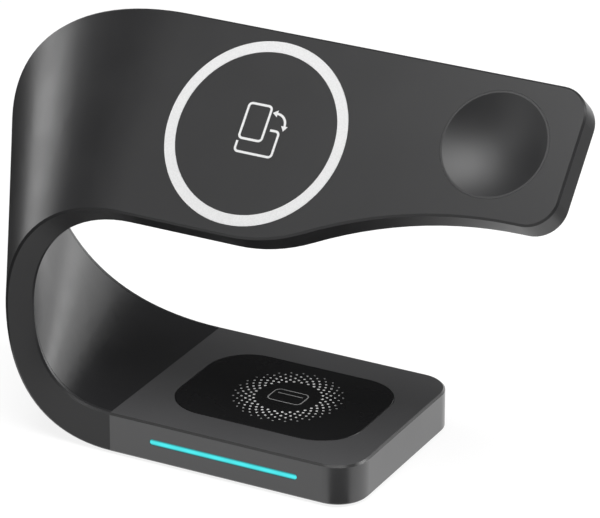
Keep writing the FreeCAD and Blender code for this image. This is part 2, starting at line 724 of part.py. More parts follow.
RULING_X = size("bend_reach_rear") - size("bend_reach_front")
RULING_Y = (size("base_depth") + amount(PLATE_WIDTH) * math.sin(TILT)) / 2
RULING_Z = amount(PLATE_WIDTH) * math.cos(TILT) / 2
LEAN = RULING_X / math.sqrt(RULING_X ** 2 + RULING_Y ** 2 + RULING_Z ** 2)
PLAN = math.hypot(RULING_X, RULING_Y) / RULING_Y


def bend_edge(rear_side, inset, inner_side, offset):
    """The two halves of a strip's edge, set in from the front or rear side and the outer or inner face."""
    foot_across = size("base_depth") - inset if rear_side else inset
    head_across = amount(PLATE_WIDTH) - inset if rear_side else inset
    foot_depth = amount(BASE_HEIGHT) - offset if inner_side else offset
    head_depth = amount(PLATE_THICKNESS) - offset if inner_side else offset
    reach = size("bend_reach_rear") - LEAN * inset if rear_side else size("bend_reach_front") + LEAN * inset
    reach -= size("bend_thickness") - offset * PLAN if inner_side else offset * PLAN
    left = SEAM_X - reach
    low = Vector(SEAM_X, FRONT_Y + foot_across, UNDER_Z + foot_depth)
    high = on_plate(size("bend_end"), head_across, head_depth).Base
    middle = Vector(left, (low.y + high.y) / 2, (low.z + high.z) / 2)
    lower = conic(low, Vector(left, low.y, low.z), middle, size("bend_fullness_low"))
    upper = conic(middle, Vector(left, high.y, high.z), high, size("bend_fullness_high"))
    return lower, upper


def conic(start, corner, end, fullness):
    """A conic between two tangents that meet at a corner."""
    curve = Part.BSplineCurve()
    curve.buildFromPolesMultsKnots((start, corner, end), (3, 3), (0, 1), False, 2, (1, fullness, 1))
    return curve.toShape()


def bend_strip(section):
    """A solid strip round the bend, from its section's corners in order."""
    edges = [bend_edge(*corner) for corner in section]
    faces = []
    for one, other in zip(edges, edges[1:] + edges[:1]):
        for half in (0, 1):
            faces.append(Part.makeRuledSurface(one[half], other[half]))
    foot = [lower.Vertexes[0].Point for lower, upper in edges]
    head = [upper.Vertexes[-1].Point for lower, upper in edges]
    for ring in (foot, head):
        faces.append(Part.Face(Part.makePolygon(ring + ring[:1])))
    skin = Part.makeCompound(faces)
    skin.sewShape(TOLERANCE)
    solid = Part.makeSolid(skin.Shells[0])
    if solid.Volume < 0:
        solid.reverse()
    return solid


def plate_outline(inset):
    """The plate's outline, set in: straight foot, rising wave, rounded tail and straight top."""
    rise = amount(TAIL_RISE)
    top = amount(PLATE_WIDTH)
    tail = amount(PLATE_REACH)
    corner = size("plate_corner_radius")
    start = amount(RING_X) + size("wave_shift")
    end = tail - corner - size("tail_flat")
    slope = 2 * math.atan(rise / (end - start))
    hollow = size("wave_hollow") / math.sin(slope)
    crown = (end - start - size("wave_hollow")) / math.sin(slope)

    def belly(angle):
        return Vector(start, hollow, 0) + Vector(math.sin(angle), -math.cos(angle), 0) * (hollow - inset)

    def shoulder(angle):
        return Vector(end, rise - crown, 0) + Vector(-math.sin(angle), math.cos(angle), 0) * (crown + inset)

    def round_corner(height, angle):
        center = Vector(tail - corner, height, 0)
        return center + Vector(math.cos(angle), math.sin(angle), 0) * (corner - inset)

    low = rise + corner
    high = top - corner
    quarter = math.pi / 2
    turns = [
        (belly(0), belly(slope / 2), belly(slope)),
        (shoulder(slope), shoulder(slope / 2), shoulder(0)),
        (round_corner(low, -quarter), round_corner(low, -quarter / 2), round_corner(low, 0)),
        (round_corner(high, 0), round_corner(high, quarter / 2), round_corner(high, quarter)),
    ]
    foot = Vector(size("bend_end"), inset, 0)
    head = Vector(size("bend_end"), top - inset, 0)
    lines = [
        (foot, turns[0][0]),
        (turns[1][2], turns[2][0]),
        (turns[2][2], turns[3][0]),
        (turns[3][2], head),
        (head, foot),
    ]
    arcs = [Part.Arc(*points).toShape() for points in turns]
    sides = [Part.LineSegment(*ends).toShape() for ends in lines]
    return Part.Wire([sides[0], arcs[0], arcs[1], sides[1], arcs[2], sides[2], arcs[3], sides[3], sides[4]])


def plate_slab(inset, front_depth, rear_depth, edge=0.0):
    """The plate's outline as a slab between two depths behind its front face, its rims broken by edge."""
    slab = Part.Face(plate_outline(inset)).extrude(Vector(0, 0, front_depth - rear_depth))
    slab.translate(Vector(0, 0, -front_depth))
    if edge > 0:
        rims = []
        for side in slab.Edges:
            box = side.BoundBox
            if box.ZLength < TOLERANCE and box.XMax > size("bend_end") + TOLERANCE:
                rims.append(side)
        slab = slab.makeChamfer(edge, rims)
    slab.Placement = Placement(PLATE_FOOT, PLATE_TURN).multiply(slab.Placement)
    return slab


def disc_on_plate(along, rise, front_depth, rear_depth, radius):
    """A cylinder through the plate, between two depths."""
    disc = Part.makeCylinder(radius, rear_depth - front_depth)
    disc.Placement = on_plate(along, rise, rear_depth)
    return disc


def plate_posts():
    """Posts behind the front wall that the rear cover rests on."""
    ring_x = amount(RING_X)
    ring_rise = amount(RING_RISE)
    orbit = size("ring_diameter") / 2 + size("post_diameter") / 2 + size("post_gap")
    diagonal = orbit / math.sqrt(2)
    between = ring_x + (size("ring_diameter") + size("ring_dish_gap")) / 2
    spread = size("post_spacing") / 2
    spots = [
        (ring_x - diagonal, ring_rise - diagonal),
        (ring_x + diagonal, ring_rise - diagonal),
        (between, amount(DISH_RISE) - spread),
        (between, amount(DISH_RISE) + spread),
    ]
    front = size("arm_wall") / 2
    radius = size("post_diameter") / 2
    return [disc_on_plate(x, rise, front, amount(COVER_DEPTH), radius) for x, rise in spots]


def arm_tongue():
    """The arm's root block and the tongue that the base's cover is screwed to."""
    side = amount(TONGUE_SIDE)
    root_x = SEAM_X - size("arm_tongue_root")
    low = COVER_TOP_Z + size("fit_clearance")
    top = low + size("arm_tongue_thickness")
    sunk = UNDER_Z + size("arm_wall") / 2
    reach = size("arm_tongue_root") + size("arm_tongue_length")
    root = Part.makeBox(size("arm_tongue_root"), 2 * side, top - sunk, Vector(root_x, -side, sunk))
    tongue = Part.makeBox(reach, 2 * side, top - low, Vector(root_x, -side, low)).fuse(root)
    for sign in (-1, 1):
        spot = Vector(SEAM_X + size("arm_screw_reach"), sign * size("arm_screw_spacing") / 2, low - OVERRUN)
        tongue = tongue.cut(Part.makeCylinder(amount(SCREW_HOLE), top - low + 2 * OVERRUN, spot))
    return tongue


def make_arm_shell():
    edge = size("edge_chamfer")
    wall = size("arm_wall")
    thickness = amount(PLATE_THICKNESS)
    outside = [
        (False, edge, False, 0), (True, edge, False, 0), (True, 0, False, edge), (True, 0, True, edge),
        (True, edge, True, 0), (False, edge, True, 0), (False, 0, True, edge), (False, 0, False, edge),
    ]
    skin = size("arm_cover_thickness")
    inside = [
        (False, wall, False, wall), (True, wall, False, wall), (True, wall, True, skin), (True, wall, True, 0),
        (True, wall, True, -OVERRUN), (False, wall, True, -OVERRUN), (False, wall, True, 0),
        (False, wall, True, skin),
    ]
    shell = bend_strip(outside).fuse(plate_slab(0, 0, thickness, edge))
    shell = shell.cut(bend_strip(inside)).cut(plate_slab(wall, wall, thickness + OVERRUN))
    shell = shell.fuse([arm_tongue()] + plate_posts())
    clear = size("ring_clearance")
    ring = (amount(RING_X), amount(RING_RISE), -OVERRUN, size("ring_depth"))
    ring_radius = size("ring_diameter") / 2
    groove = disc_on_plate(*ring, ring_radius + clear)
    groove = groove.cut(disc_on_plate(*ring, ring_radius - size("ring_band") - clear))
    hole = disc_on_plate(amount(DISH_X), amount(DISH_RISE), -OVERRUN, wall + OVERRUN,
                         size("dish_diameter") / 2 + clear)
    return feature("arm_shell", shell.cut(groove).cut(hole).removeSplitter())


def make_arm_cover():
    inset = size("arm_wall") + size("fit_clearance")
    skin = size("arm_cover_thickness")
    section = [
        (False, inset, True, skin), (True, inset, True, skin),
        (True, inset, True, 0), (False, inset, True, 0),
    ]
    slab = plate_slab(inset, amount(COVER_DEPTH), amount(PLATE_THICKNESS))
    return feature("arm_cover", bend_strip(section).fuse(slab).removeSplitter())


def make_arm_cable():
    """A flat cable from under the main board, round the bend, to the plate's board."""
    width = size("arm_cable_width")
    thickness = size("arm_cable_thickness")
    near = REAR_Y - amount(CABLE_REAR)
    far = near + width
    low = max(size("arm_wall"), size("base_cover_thickness")) + size("arm_cable_gap")
    high = low + thickness
    section = [
        (True, far, False, low), (True, near, False, low),
        (True, near, False, high), (True, far, False, high),
    ]
    reach = amount(BOARD_LEFT) + size("arm_cable_overlap") - SEAM_X
    tail = Part.makeBox(reach, width, thickness, Vector(SEAM_X, REAR_Y - far, UNDER_Z + low))
    head = Part.makeBox(size("plate_board_run") - size("arm_cable_end_gap"), width, thickness)
    head.Placement = on_plate(size("bend_end"), amount(PLATE_WIDTH) - far, high)
    return feature("arm_cable", bend_strip(section).fuse([tail, head]).removeSplitter())


# Plate: phone ring and module, watch dish and module, plate board and lead

def on_ring(depth):
    """A placement on the phone ring's axis."""
    return on_plate(amount(RING_X), amount(RING_RISE), depth)


def on_dish(depth):
    """A placement on the watch dish's axis."""
    return on_plate(amount(DISH_X), amount(DISH_RISE), depth)


def make_phone_ring():
    return tube("phone_ring", "Sizes.ring_diameter / 2", "Sizes.ring_diameter / 2 - Sizes.ring_band",
                "Sizes.ring_depth", on_ring(size("ring_depth")))


def make_phone_coil():
    depth = size("arm_wall") + size("coil_thickness")
    return tube("phone_coil", PHONE_COIL, "Sizes.phone_coil_bore / 2", "Sizes.coil_thickness", on_ring(depth))


def make_phone_ferrite():
    depth = size("arm_wall") + size("coil_thickness") + size("ferrite_thickness")
    return rod("phone_ferrite", PHONE_FERRITE, "Sizes.ferrite_thickness", on_ring(depth))


def make_phone_magnets():
    """A ring of magnets, parted by thin radial slots."""
    depth = size("arm_wall") + size("magnet_thickness")
    band = tube("phone_magnet_band", MAGNET_OUTER, MAGNET_INNER, "Sizes.magnet_thickness", on_ring(depth))
    slots = []
    for index in range(MAGNET_SPOKES):
        slot = doc.addObject("Part::Box", "phone_magnet_slot_%d" % index)
        slot.setExpression("Length", "2 * (%s + %g)" % (MAGNET_OUTER, OVERRUN))
        slot.setExpression("Width", "Sizes.magnet_slot")
        slot.setExpression("Height", "Sizes.magnet_thickness + 2 * %g" % OVERRUN)
        corner = Vector(-amount(MAGNET_OUTER) - OVERRUN, -size("magnet_slot") / 2, -OVERRUN)
        turn = Placement(Vector(), Rotation(Vector(0, 0, 1), 180.0 * index / MAGNET_SPOKES))
        slot.Placement = on_ring(depth).multiply(turn).multiply(Placement(corner, Rotation()))
        slots.append(slot)
    return cut("phone_magnets", band, fuse("phone_magnet_slots", slots))


def make_watch_dish():
    """A round insert with a hollow spherical face and a flange behind the plate's front wall."""
    radius = "Sizes.dish_diameter / 2"
    skirt_depth = size("arm_wall") + size("dish_flange_thickness")
    rim = rod("watch_dish_rim", radius, "Sizes.arm_wall + Sizes.dish_flange_thickness", on_dish(skirt_depth))
    flange = rod("watch_dish_flange", radius + " + Sizes.dish_flange", "Sizes.dish_flange_thickness",
                 on_dish(skirt_depth))
    cup = rod("watch_dish_cup", DISH_CUP, DISH_FLOOR, on_dish(amount(DISH_FLOOR)))
    mouth = "(%s - Sizes.dish_rim)" % radius
    ball_radius = "(%s ^ 2 + Sizes.dish_depth ^ 2) / (2 * Sizes.dish_depth)" % mouth
    ball = doc.addObject("Part::Sphere", "watch_dish_ball")
    ball.setExpression("Radius", ball_radius)
    ball.Placement = on_dish(size("dish_depth") - amount(ball_radius))
    return cut("watch_dish", fuse("watch_dish_blank", [rim, flange, cup]), ball)


def make_watch_coil():
    depth = amount(DISH_FLOOR) + size("coil_thickness")
    return tube("watch_coil", WATCH_COIL, WATCH_BORE, "Sizes.coil_thickness", on_dish(depth))


def make_watch_ferrite():
    depth = amount(DISH_FLOOR) + amount(WATCH_STACK)
    return tube("watch_ferrite", WATCH_FERRITE, WATCH_BORE, "Sizes.ferrite_thickness", on_dish(depth))


def make_watch_magnet():
    depth = amount(DISH_FLOOR) + amount(WATCH_STACK)
    return rod("watch_magnet", "Sizes.watch_magnet_diameter / 2", WATCH_STACK, on_dish(depth))


def plate_board_span():
    """The plate board's left end, right end and lower edge: on the cable's line, beside the magnets."""
    cable_inset = REAR_Y - amount(CABLE_REAR) + size("arm_cable_width") / 2
    low = amount(PLATE_WIDTH) - cable_inset - size("plate_board_width") / 2
    clear = amount(MAGNET_OUTER) + size("plate_board_gap")
    right = amount(RING_X) - math.sqrt(clear ** 2 - (low - amount(RING_RISE)) ** 2)
    left = size("bend_end") + size("plate_board_run")
    return left, right, low


def make_plate_board():
    left, right, low = plate_board_span()
    board = doc.addObject("Part::Box", "plate_board")
    board.Label = "plate_board"
    board.Length = right - left
    board.setExpression("Width", "Sizes.plate_board_width")
    board.setExpression("Height", "Sizes.plate_board_thickness")
    board.Placement = on_plate(left, low, size("arm_wall") + size("plate_board_thickness"))
    return board


def make_watch_lead():
    """A flat lead from the plate's board, behind the phone magnets, to the watch dish."""
    left, right, low = plate_board_span()
    start = right - size("watch_lead_overlap")
    end = amount(DISH_X) - amount(DISH_CUP)
    rise = amount(RING_RISE) + amount(PHONE_FERRITE) + size("watch_lead_side_gap")
    front = size("arm_wall") + size("magnet_thickness") + size("watch_lead_gap")
    lead = doc.addObject("Part::Box", "watch_lead")
    lead.Label = "watch_lead"
    lead.Length = end - start
    lead.setExpression("Width", "Sizes.watch_lead_width")
    lead.setExpression("Height", "Sizes.watch_lead_thickness")
    lead.Placement = on_plate(start, rise, front + size("watch_lead_thickness"))
    return lead


def check(nodes):
    """Stop before anything is written if an object failed or a shape is broken."""
    doc.recompute()
    for thing in doc.Objects:
        if "Invalid" in thing.State or "Error" in thing.State:
            raise RuntimeError("%s failed: %s" % (thing.Name, thing.State))
    for node in nodes:
        if node.Shape.isNull() or not node.Shape.isValid() or not node.Shape.Solids:
            raise RuntimeError("%s has no valid solid" % node.Label)


def main():
    nodes = [
        make_base_housing(),
        make_base_cover(),
        make_antislip_pad(),
        make_cover_screws(),
        make_arm_screws(),
        make_earbud_panel(),
        make_earbud_coil(),
        make_earbud_ferrite(),
        make_light_bar(),
        make_light_board(),
        make_light_chips(),
        make_main_board(),
        make_component_row("board_chips", BOARD_CHIPS, "chip", CHIP_Y),
        make_component_row("board_inductors", BOARD_INDUCTORS, "inductor", INDUCTOR_Y),
        make_component_row("board_capacitors", BOARD_CAPACITORS, "capacitor", CAPACITOR_Y),
        make_usb_socket(),
        make_usb_tongue(),
        make_arm_shell(),
        make_arm_cover(),
        make_arm_cable(),
        make_phone_ring(),
        make_phone_coil(),
        make_phone_ferrite(),
        make_phone_magnets(),
        make_watch_dish(),
        make_watch_coil(),
        make_watch_ferrite(),
        make_watch_magnet(),
        make_plate_board(),
        make_watch_lead(),
    ]
    check(nodes)
    os.makedirs("parts", exist_ok=True)
    for node in nodes:
        node.Shape.exportStep("parts/%s.step" % node.Label)
        print("%-18s %2d solids %9.1f mm3" % (node.Label, len(node.Shape.Solids), node.Shape.Volume))


main()
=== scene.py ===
"""Looks of a four-in-one wireless charger: finishes, printed marks, lit bar and a plain stage."""

import json
import math

import bmesh
import bpy
from bpy.props import FloatProperty, FloatVectorProperty, IntProperty, PointerProperty
from bpy.types import Operator, Panel, PropertyGroup
from mathutils import Matrix, Vector


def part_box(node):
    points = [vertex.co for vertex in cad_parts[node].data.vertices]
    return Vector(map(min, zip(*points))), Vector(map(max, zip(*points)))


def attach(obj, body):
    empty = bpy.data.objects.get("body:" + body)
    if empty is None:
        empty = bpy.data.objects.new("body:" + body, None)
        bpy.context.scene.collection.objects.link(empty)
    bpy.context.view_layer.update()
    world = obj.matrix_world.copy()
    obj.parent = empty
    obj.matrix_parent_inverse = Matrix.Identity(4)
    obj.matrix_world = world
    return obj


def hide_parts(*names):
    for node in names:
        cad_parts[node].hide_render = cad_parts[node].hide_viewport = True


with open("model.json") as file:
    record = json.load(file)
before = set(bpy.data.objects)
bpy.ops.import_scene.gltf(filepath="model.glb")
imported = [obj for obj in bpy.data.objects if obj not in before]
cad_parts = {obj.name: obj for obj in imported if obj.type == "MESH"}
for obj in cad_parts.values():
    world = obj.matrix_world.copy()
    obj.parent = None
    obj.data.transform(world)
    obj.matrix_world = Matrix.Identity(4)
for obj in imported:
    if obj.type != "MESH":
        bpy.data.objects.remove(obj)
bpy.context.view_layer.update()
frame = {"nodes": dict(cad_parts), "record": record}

bl_info = {
    "name": "Wireless Charger Looks",
    "version": (1, 0, 0),
    "blender": (4, 5, 0),
    "location": "View3D > Sidebar > Charger",
    "description": "Finishes, printed marks and stage for a four-in-one wireless charger",
    "category": "Object",
}

BODY = "root"
MM = 0.001

# The plate's own axes, from the face that a phone rests on: its middle is the ring's middle.
PHONE_FACE = next(mount for mount in frame["record"]["mounts"] if mount["name"] == "phone_face")
PLATE_OUT = Vector(PHONE_FACE["axis"]).normalized()
PLATE_ALONG = Vector((1.0, 0.0, 0.0))
PLATE_UP = PLATE_OUT.cross(PLATE_ALONG)
PLATE_AXES = (PLATE_ALONG, PLATE_UP, PLATE_OUT)
PLATE_TURN = (math.atan2(-PLATE_OUT.y, PLATE_OUT.z), 0.0, 0.0)
NO_TURN = (0.0, 0.0, 0.0)
RING_MIDDLE = Vector(PHONE_FACE["pos_m"])

# The panel lies level, and its printed marks sit a little to the right and back of its middle.
PANEL_LOW, PANEL_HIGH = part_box("earbud_panel")
PANEL_AXES = (Vector((1.0, 0.0, 0.0)), Vector((0.0, 1.0, 0.0)), Vector((0.0, 0.0, 1.0)))
PANEL_MIDDLE = Vector(((PANEL_LOW.x + PANEL_HIGH.x) / 2, (PANEL_LOW.y + PANEL_HIGH.y) / 2,
                       PANEL_HIGH.z))
MARKS_MIDDLE = PANEL_MIDDLE + Vector((1.0, 0.45, 0.0)) * MM

# Linear colours of the pieces that have no colour among the settings.
RUBBER = (0.02, 0.02, 0.021)
SCREW_STEEL = (0.55, 0.55, 0.56)
SOCKET_STEEL = (0.60, 0.60, 0.61)
TONGUE_BLACK = (0.015, 0.015, 0.015)
COPPER = (0.72, 0.38, 0.20)
FERRITE_GREY = (0.10, 0.10, 0.11)
NICKEL = (0.62, 0.61, 0.58)
BOARD_GREEN = (0.03, 0.20, 0.08)
CHIP_BLACK = (0.03, 0.03, 0.03)
CAPACITOR_TAN = (0.55, 0.42, 0.28)
CHIP_CREAM = (0.85, 0.82, 0.62)
FILM_WHITE = (0.80, 0.80, 0.79)
WHITE = (1.0, 1.0, 1.0, 1.0)

# How the arm, the dish and the covers differ from plain moulded plastic.
BODY_SHINE = 0.40
DISH_ROUGHER = 0.06
DISH_GRAIN_SHARE = 0.5
COVER_SMOOTHER = 0.04

# Roughness drifts this far both ways, edges get painted highlight or shade this far in, and a
# chamfer's slope may differ this much from the one that is looked for.
ROUGH_DRIFT = 0.03
EDGE_REACH = 0.35 * MM
SLOPE_RANGE = 0.2

# The marks in metal make it this much smoother and rougher.
METAL_SMOOTHER, METAL_ROUGHER = 0.06, 0.08

# The middle of a noise's range.
NOISE_LOW, NOISE_HIGH = 0.3, 0.7

# A wave texture runs through this many radians per unit of scale. The pitches are those of the
# coils' wire and of the conductors in the film.
WAVE_RADIANS = 20.0
WIRE_PITCH = 0.9 * MM
FILM_PITCH = 1.0 * MM

# The Mix node's colour sockets go by place, because other kinds of data share their names.
MIX_FIRST, MIX_SECOND, MIX_RESULT = 6, 7, 2

# The lit bar is a little brighter before each chip. It is fully lit over a share of its half
# height, and falls off towards its edges.
LIGHT_CHIPS = 6
BAR_DIM, BAR_BRIGHT = 0.95, 1.04
BAR_HALF_HEIGHT = 0.8 * MM
BAR_CORE = 0.4
BAR_EDGE_TONE = 0.3
BAR_UNLIT_TONE = 0.08

# In the dish's copy, points this close are one point, and only sharper turns keep an edge.
MERGE_REACH = 0.001 * MM
SHARP_TURN = math.radians(15)

# Printed marks are thin coats of ink: this is how far they stand up, how finely their bends are
# cut, and how little of a mitre is left where a stroke turns sharply.
INK_HEIGHT = 0.04 * MM
BEND_STEPS = 6
LEAST_MITRE = 0.5

# The tones of ink where it covers least and most.
INK_THIN, INK_FULL = 0.92, 1.06

# A stroke's section: the side of its path, and the height over the surface.
STROKE_SECTION = ((1, 0.0), (1, INK_HEIGHT), (-1, INK_HEIGHT), (-1, 0.0))

# The dots keep their full ink near the middle, and fade over the outer rings.
FADE_START, FADE_END, FADE_LEFT = 13.4 * MM, 16.6 * MM, 0.25

# How finely a dot is cut, and what the nodes of the dot rings are given.
DOT_SIDES = 12
DOT_INPUTS = (("Rings", "Int"), ("Dots Round", "Int"), ("Inner Radius", "Float"),
              ("Outer Radius", "Float"), ("Large Dot", "Float"), ("Small Dot", "Float"),
              ("Dot Height", "Float"), ("Turn", "Float"), ("Middle", "Vector"), ("Ink", "Material"))

CAMERA_PLACE = Vector((0.52986, -0.98463, 0.56399))
CAMERA_AZIMUTH = math.radians(28.052)
CAMERA_ELEVATION = math.radians(24.361)
SENSOR_WIDTH = 36.0

# The floor is a wide disc with a rising lip, just below what the charger stands on.
FLOOR_RADIUS = 9.0
FLOOR_SIDES = 96
FLOOR_LIP = 0.9
FLOOR_LIP_SPREAD = 1.1
FLOOR_GAP = 0.05 * MM
FLOOR_GLOW = 0.84

# Each lamp's place, width, height and level. A lamp faces LAMP_AIM, and its power is its area
# times its level times LAMP_POWER.
LAMP_POWER = 4.0
LAMP_AIM = Vector((0.0, 0.0, 0.06))
LAMPS = {
    "top_softbox": ((0.06, -0.20, 0.92), 0.75, 0.50, 5.0),
    "plate_softbox": ((-0.56, -0.74, 0.80), 0.50, 0.50, 1.05),
    "left_softbox": ((-0.99, 0.05, 0.21), 0.36, 0.34, 3.4),
    "back_softbox": ((0.18, 0.98, 0.10), 0.55, 0.18, 1.5),
    "high_back_softbox": ((0.18, 0.94, 0.33), 0.55, 0.40, 1.2),
    "right_softbox": ((0.76, 0.50, 0.54), 0.50, 0.50, 7.4),
    "front_softbox": ((-0.60, -0.96, 0.42), 0.80, 0.32, 1.0),
}

# Dark cards near the floor: corners, heights over it and shades.
LEFT_CARD = ((-3.0, -0.6), (-0.115, -0.6), (-0.115, 2.0), (-3.0, 2.0))
RIGHT_CARD = ((0.11, 0.07), (1.5, 0.07), (1.5, 1.5), (0.11, 1.5))
SIDE_CARD_HEIGHT = 1.5 * MM
CORNER_CARD_HEIGHT = 0.3 * MM
LEFT_SHADE, RIGHT_SHADE, CORNER_SHADE = 0.006, 0.20, 0.14

# The base's round front corner is dark where it faces between these two azimuths.
CORNER_RADIUS = 10.0 * MM
CORNER_DARK = (math.radians(13), math.radians(47))
CORNER_CARD_REACH = 80.0 * MM


def length(name, text, default, low, high):
    """A length in metres that a user may change."""
    return FloatProperty(name=name, description=text, default=default, min=low, max=high,
                         subtype="DISTANCE", unit="LENGTH", precision=5)


def colour(name, text, default):
    """A linear colour that a user may change."""
    return FloatVectorProperty(name=name, description=text, default=default, size=3,
                               min=0.0, max=1.0, subtype="COLOR")


def share(name, text, default, high=1.0):
    """A plain share or level that a user may change."""
    return FloatProperty(name=name, description=text, default=default, min=0.0, max=high,
                         subtype="FACTOR")


class ChargerFinish(PropertyGroup):
    """Colours and grain of the moulded pieces."""

    body: colour("Body", "Dark grey of the arm and plate", (0.022, 0.022, 0.023))
    base: colour("Base", "Dark grey of the base", (0.062, 0.062, 0.064))
    cover: colour("Cover", "Darker grey of the inner skins", (0.014, 0.014, 0.015))
    panel: colour("Panel", "Black of the earbud panel", (0.008, 0.008, 0.0085))
    ring: colour("Ring", "White of the phone ring", (0.86, 0.86, 0.86))
    light: colour("Light", "Colour of the lit bar", (0.055, 0.80, 0.83))
    gloss: share("Roughness", "Roughness of the moulded plastic", 0.35)
    grain: length("Grain", "Width of the plastic's moulded grain",
                  0.28 * MM, 0.05 * MM, 2 * MM)
    grain_depth: length("Grain depth", "Height of the plastic's moulded grain",
                        0.004 * MM, 0.0, 0.1 * MM)


class ChargerMarks(PropertyGroup):
    """Sizes and colours of the printed marks."""

    ink: colour("Ink", "White of the icon on the plate", (0.88, 0.88, 0.88))
    faint_ink: colour("Faint ink", "Grey of the icon on the panel", (0.40, 0.40, 0.40))
    line: length("Line", "Width of the plate icon's lines", 0.70 * MM, 0.1 * MM, 2 * MM)
    thin_line: length("Thin line", "Width of the panel icon's lines",
                      0.33 * MM, 0.1 * MM, 1 * MM)
    dots_inner: length("Dots inside", "Radius of the innermost ring of dots",
                       10.2 * MM, 5 * MM, 15 * MM)
    dots_outer: length("Dots outside", "Radius of the outermost ring of dots",
                       16.2 * MM, 10 * MM, 21 * MM)
    dot_rings: IntProperty(name="Rings", description="Rings of dots", default=6, min=2, max=12)
    dots_round: IntProperty(name="Dots", description="Dots in each ring",
                            default=28, min=6, max=90)
    dot_large: length("Large dot", "Radius of a dot in the innermost ring",
                      0.42 * MM, 0.1 * MM, 1 * MM)
    dot_small: length("Small dot", "Radius of a dot in the outermost ring",
                      0.30 * MM, 0.02 * MM, 1 * MM)
    dots_turn: FloatProperty(name="Turn", description="Angle of each ring's first dot",
                             default=math.radians(5.55), min=-math.pi, max=math.pi,
                             subtype="ANGLE", unit="ROTATION")


class ChargerStage(PropertyGroup):
    """Camera and light of the studio."""

    lens: FloatProperty(name="Lens", description="Focal length", default=254.05, min=20.0,
                        max=600.0, subtype="DISTANCE_CAMERA", unit="CAMERA")
    light: share("Light", "Level of all lamps together", 1.0, high=4.0)
    fill: share("Fill", "Level of the light from all round", 0.06, high=2.0)
    floor: colour("Floor", "Colour of the floor under the charger", (0.22, 0.22, 0.22))


# Node helpers

def feed(tree, socket, value):
    """Gives a socket a number or colour, or links another node's output to it."""
    if isinstance(value, bpy.types.NodeSocket):
        tree.links.new(value, socket)
    else:
        socket.default_value = value


def add(tree, kind, inputs=None, **settings):
    """A node with its settings, whose inputs are numbers, colours or other nodes' outputs."""
    node = tree.nodes.new(kind)
    for name, value in settings.items():
        setattr(node, name, value)
    for name, value in (inputs or {}).items():
        feed(tree, node.inputs[name], value)
    return node


def work_out(tree, operation, *values, clamp=False):
    """The result of one sum on numbers and other nodes' outputs."""
    node = add(tree, "ShaderNodeMath", dict(enumerate(values)), operation=operation,
               use_clamp=clamp)
    return node.outputs[0]


def remap(tree, value, start, end, low=0.0, high=1.0):
    """A number that goes from low to high as the value goes from start to end."""
    node = add(tree, "ShaderNodeMapRange", {"Value": value, "From Min": start, "From Max": end,
                                            "To Min": low, "To Max": high})
    return node.outputs["Result"]


def noise(tree, place, scale, detail=2.0, rough=0.5):
    """The level of a noise."""
    node = add(tree, "ShaderNodeTexNoise", {"Vector": place, "Scale": scale, "Detail": detail,
                                            "Roughness": rough})
    return node.outputs["Fac"]


def wave(tree, place, span, waves=1, phase=0.0, **kind):
    """The level of a wave that repeats this often over a span."""
    scale = waves * math.tau / (WAVE_RADIANS * span)
    node = add(tree, "ShaderNodeTexWave", {"Vector": place, "Scale": scale, "Phase Offset": phase},
               wave_profile="SIN", **kind)
    return node.outputs["Fac"]


def new_group(name, kind, inputs, outputs):
    """An empty node group with named sockets, and its two end nodes."""
    tree = bpy.data.node_groups.new(name, kind)
    for label, socket_type, default in inputs:
        socket = tree.interface.new_socket(name=label, in_out="INPUT", socket_type=socket_type)
        if default is not None:
            socket.default_value = default
    for label, socket_type in outputs:
        tree.interface.new_socket(name=label, in_out="OUTPUT", socket_type=socket_type)
    return tree, tree.nodes.new("NodeGroupInput"), tree.nodes.new("NodeGroupOutput")


def shared_group(name, build):
    """A node group that is built the first time it is asked for."""
    return bpy.data.node_groups.get(name) or build(name)


def grain_group(name):
    """Fine moulded grain: a height for the bump and a slow drift of tone."""
    tree, start, end = new_group(
        name, "ShaderNodeTree",
        [("Vector", "NodeSocketVector", None), ("Grain Scale", "NodeSocketFloat", 3000.0),
         ("Drift Scale", "NodeSocketFloat", 60.0)],
        [("Height", "NodeSocketFloat"), ("Drift", "NodeSocketFloat")])
    given = start.outputs
    pits = noise(tree, given["Vector"], given["Grain Scale"], detail=2.0, rough=0.55)
    drift = noise(tree, given["Vector"], given["Drift Scale"], detail=3.0)
    tree.links.new(pits, end.inputs["Height"])
    tree.links.new(drift, end.inputs["Drift"])
    return tree


def edge_group(name):
    """Edges for a painted highlight: a mask that is 1 where the surface turns sharply."""
    tree, start, end = new_group(name, "ShaderNodeTree", [("Sharpness", "NodeSocketFloat", 0.25)],
                                 [("Mask", "NodeSocketFloat")])
    softened = add(tree, "ShaderNodeBevel", {"Radius": EDGE_REACH}, samples=6)
    plain = add(tree, "ShaderNodeNewGeometry")
    match = add(tree, "ShaderNodeVectorMath",
                {0: softened.outputs["Normal"], 1: plain.outputs["Normal"]},
                operation="DOT_PRODUCT")
    turn = work_out(tree, "SUBTRACT", 1.0, match.outputs["Value"])
    mask = work_out(tree, "DIVIDE", turn, start.outputs["Sharpness"], clamp=True)
    tree.links.new(mask, end.inputs["Mask"])
    return tree


def slope_group(name):
    """Sloping faces: a mask that is 1 on chamfers between level and upright faces."""
    tree, start, end = new_group(name, "ShaderNodeTree", [("Slope", "NodeSocketFloat", 0.7)],
                                 [("Mask", "NodeSocketFloat")])
    plain = add(tree, "ShaderNodeNewGeometry")
    rise = add(tree, "ShaderNodeSeparateXYZ", {"Vector": plain.outputs["True Normal"]})
    level = work_out(tree, "ABSOLUTE", rise.outputs["Z"])
    mask = work_out(tree, "COMPARE", level, start.outputs["Slope"], SLOPE_RANGE)
    tree.links.new(mask, end.inputs["Mask"])
    return tree


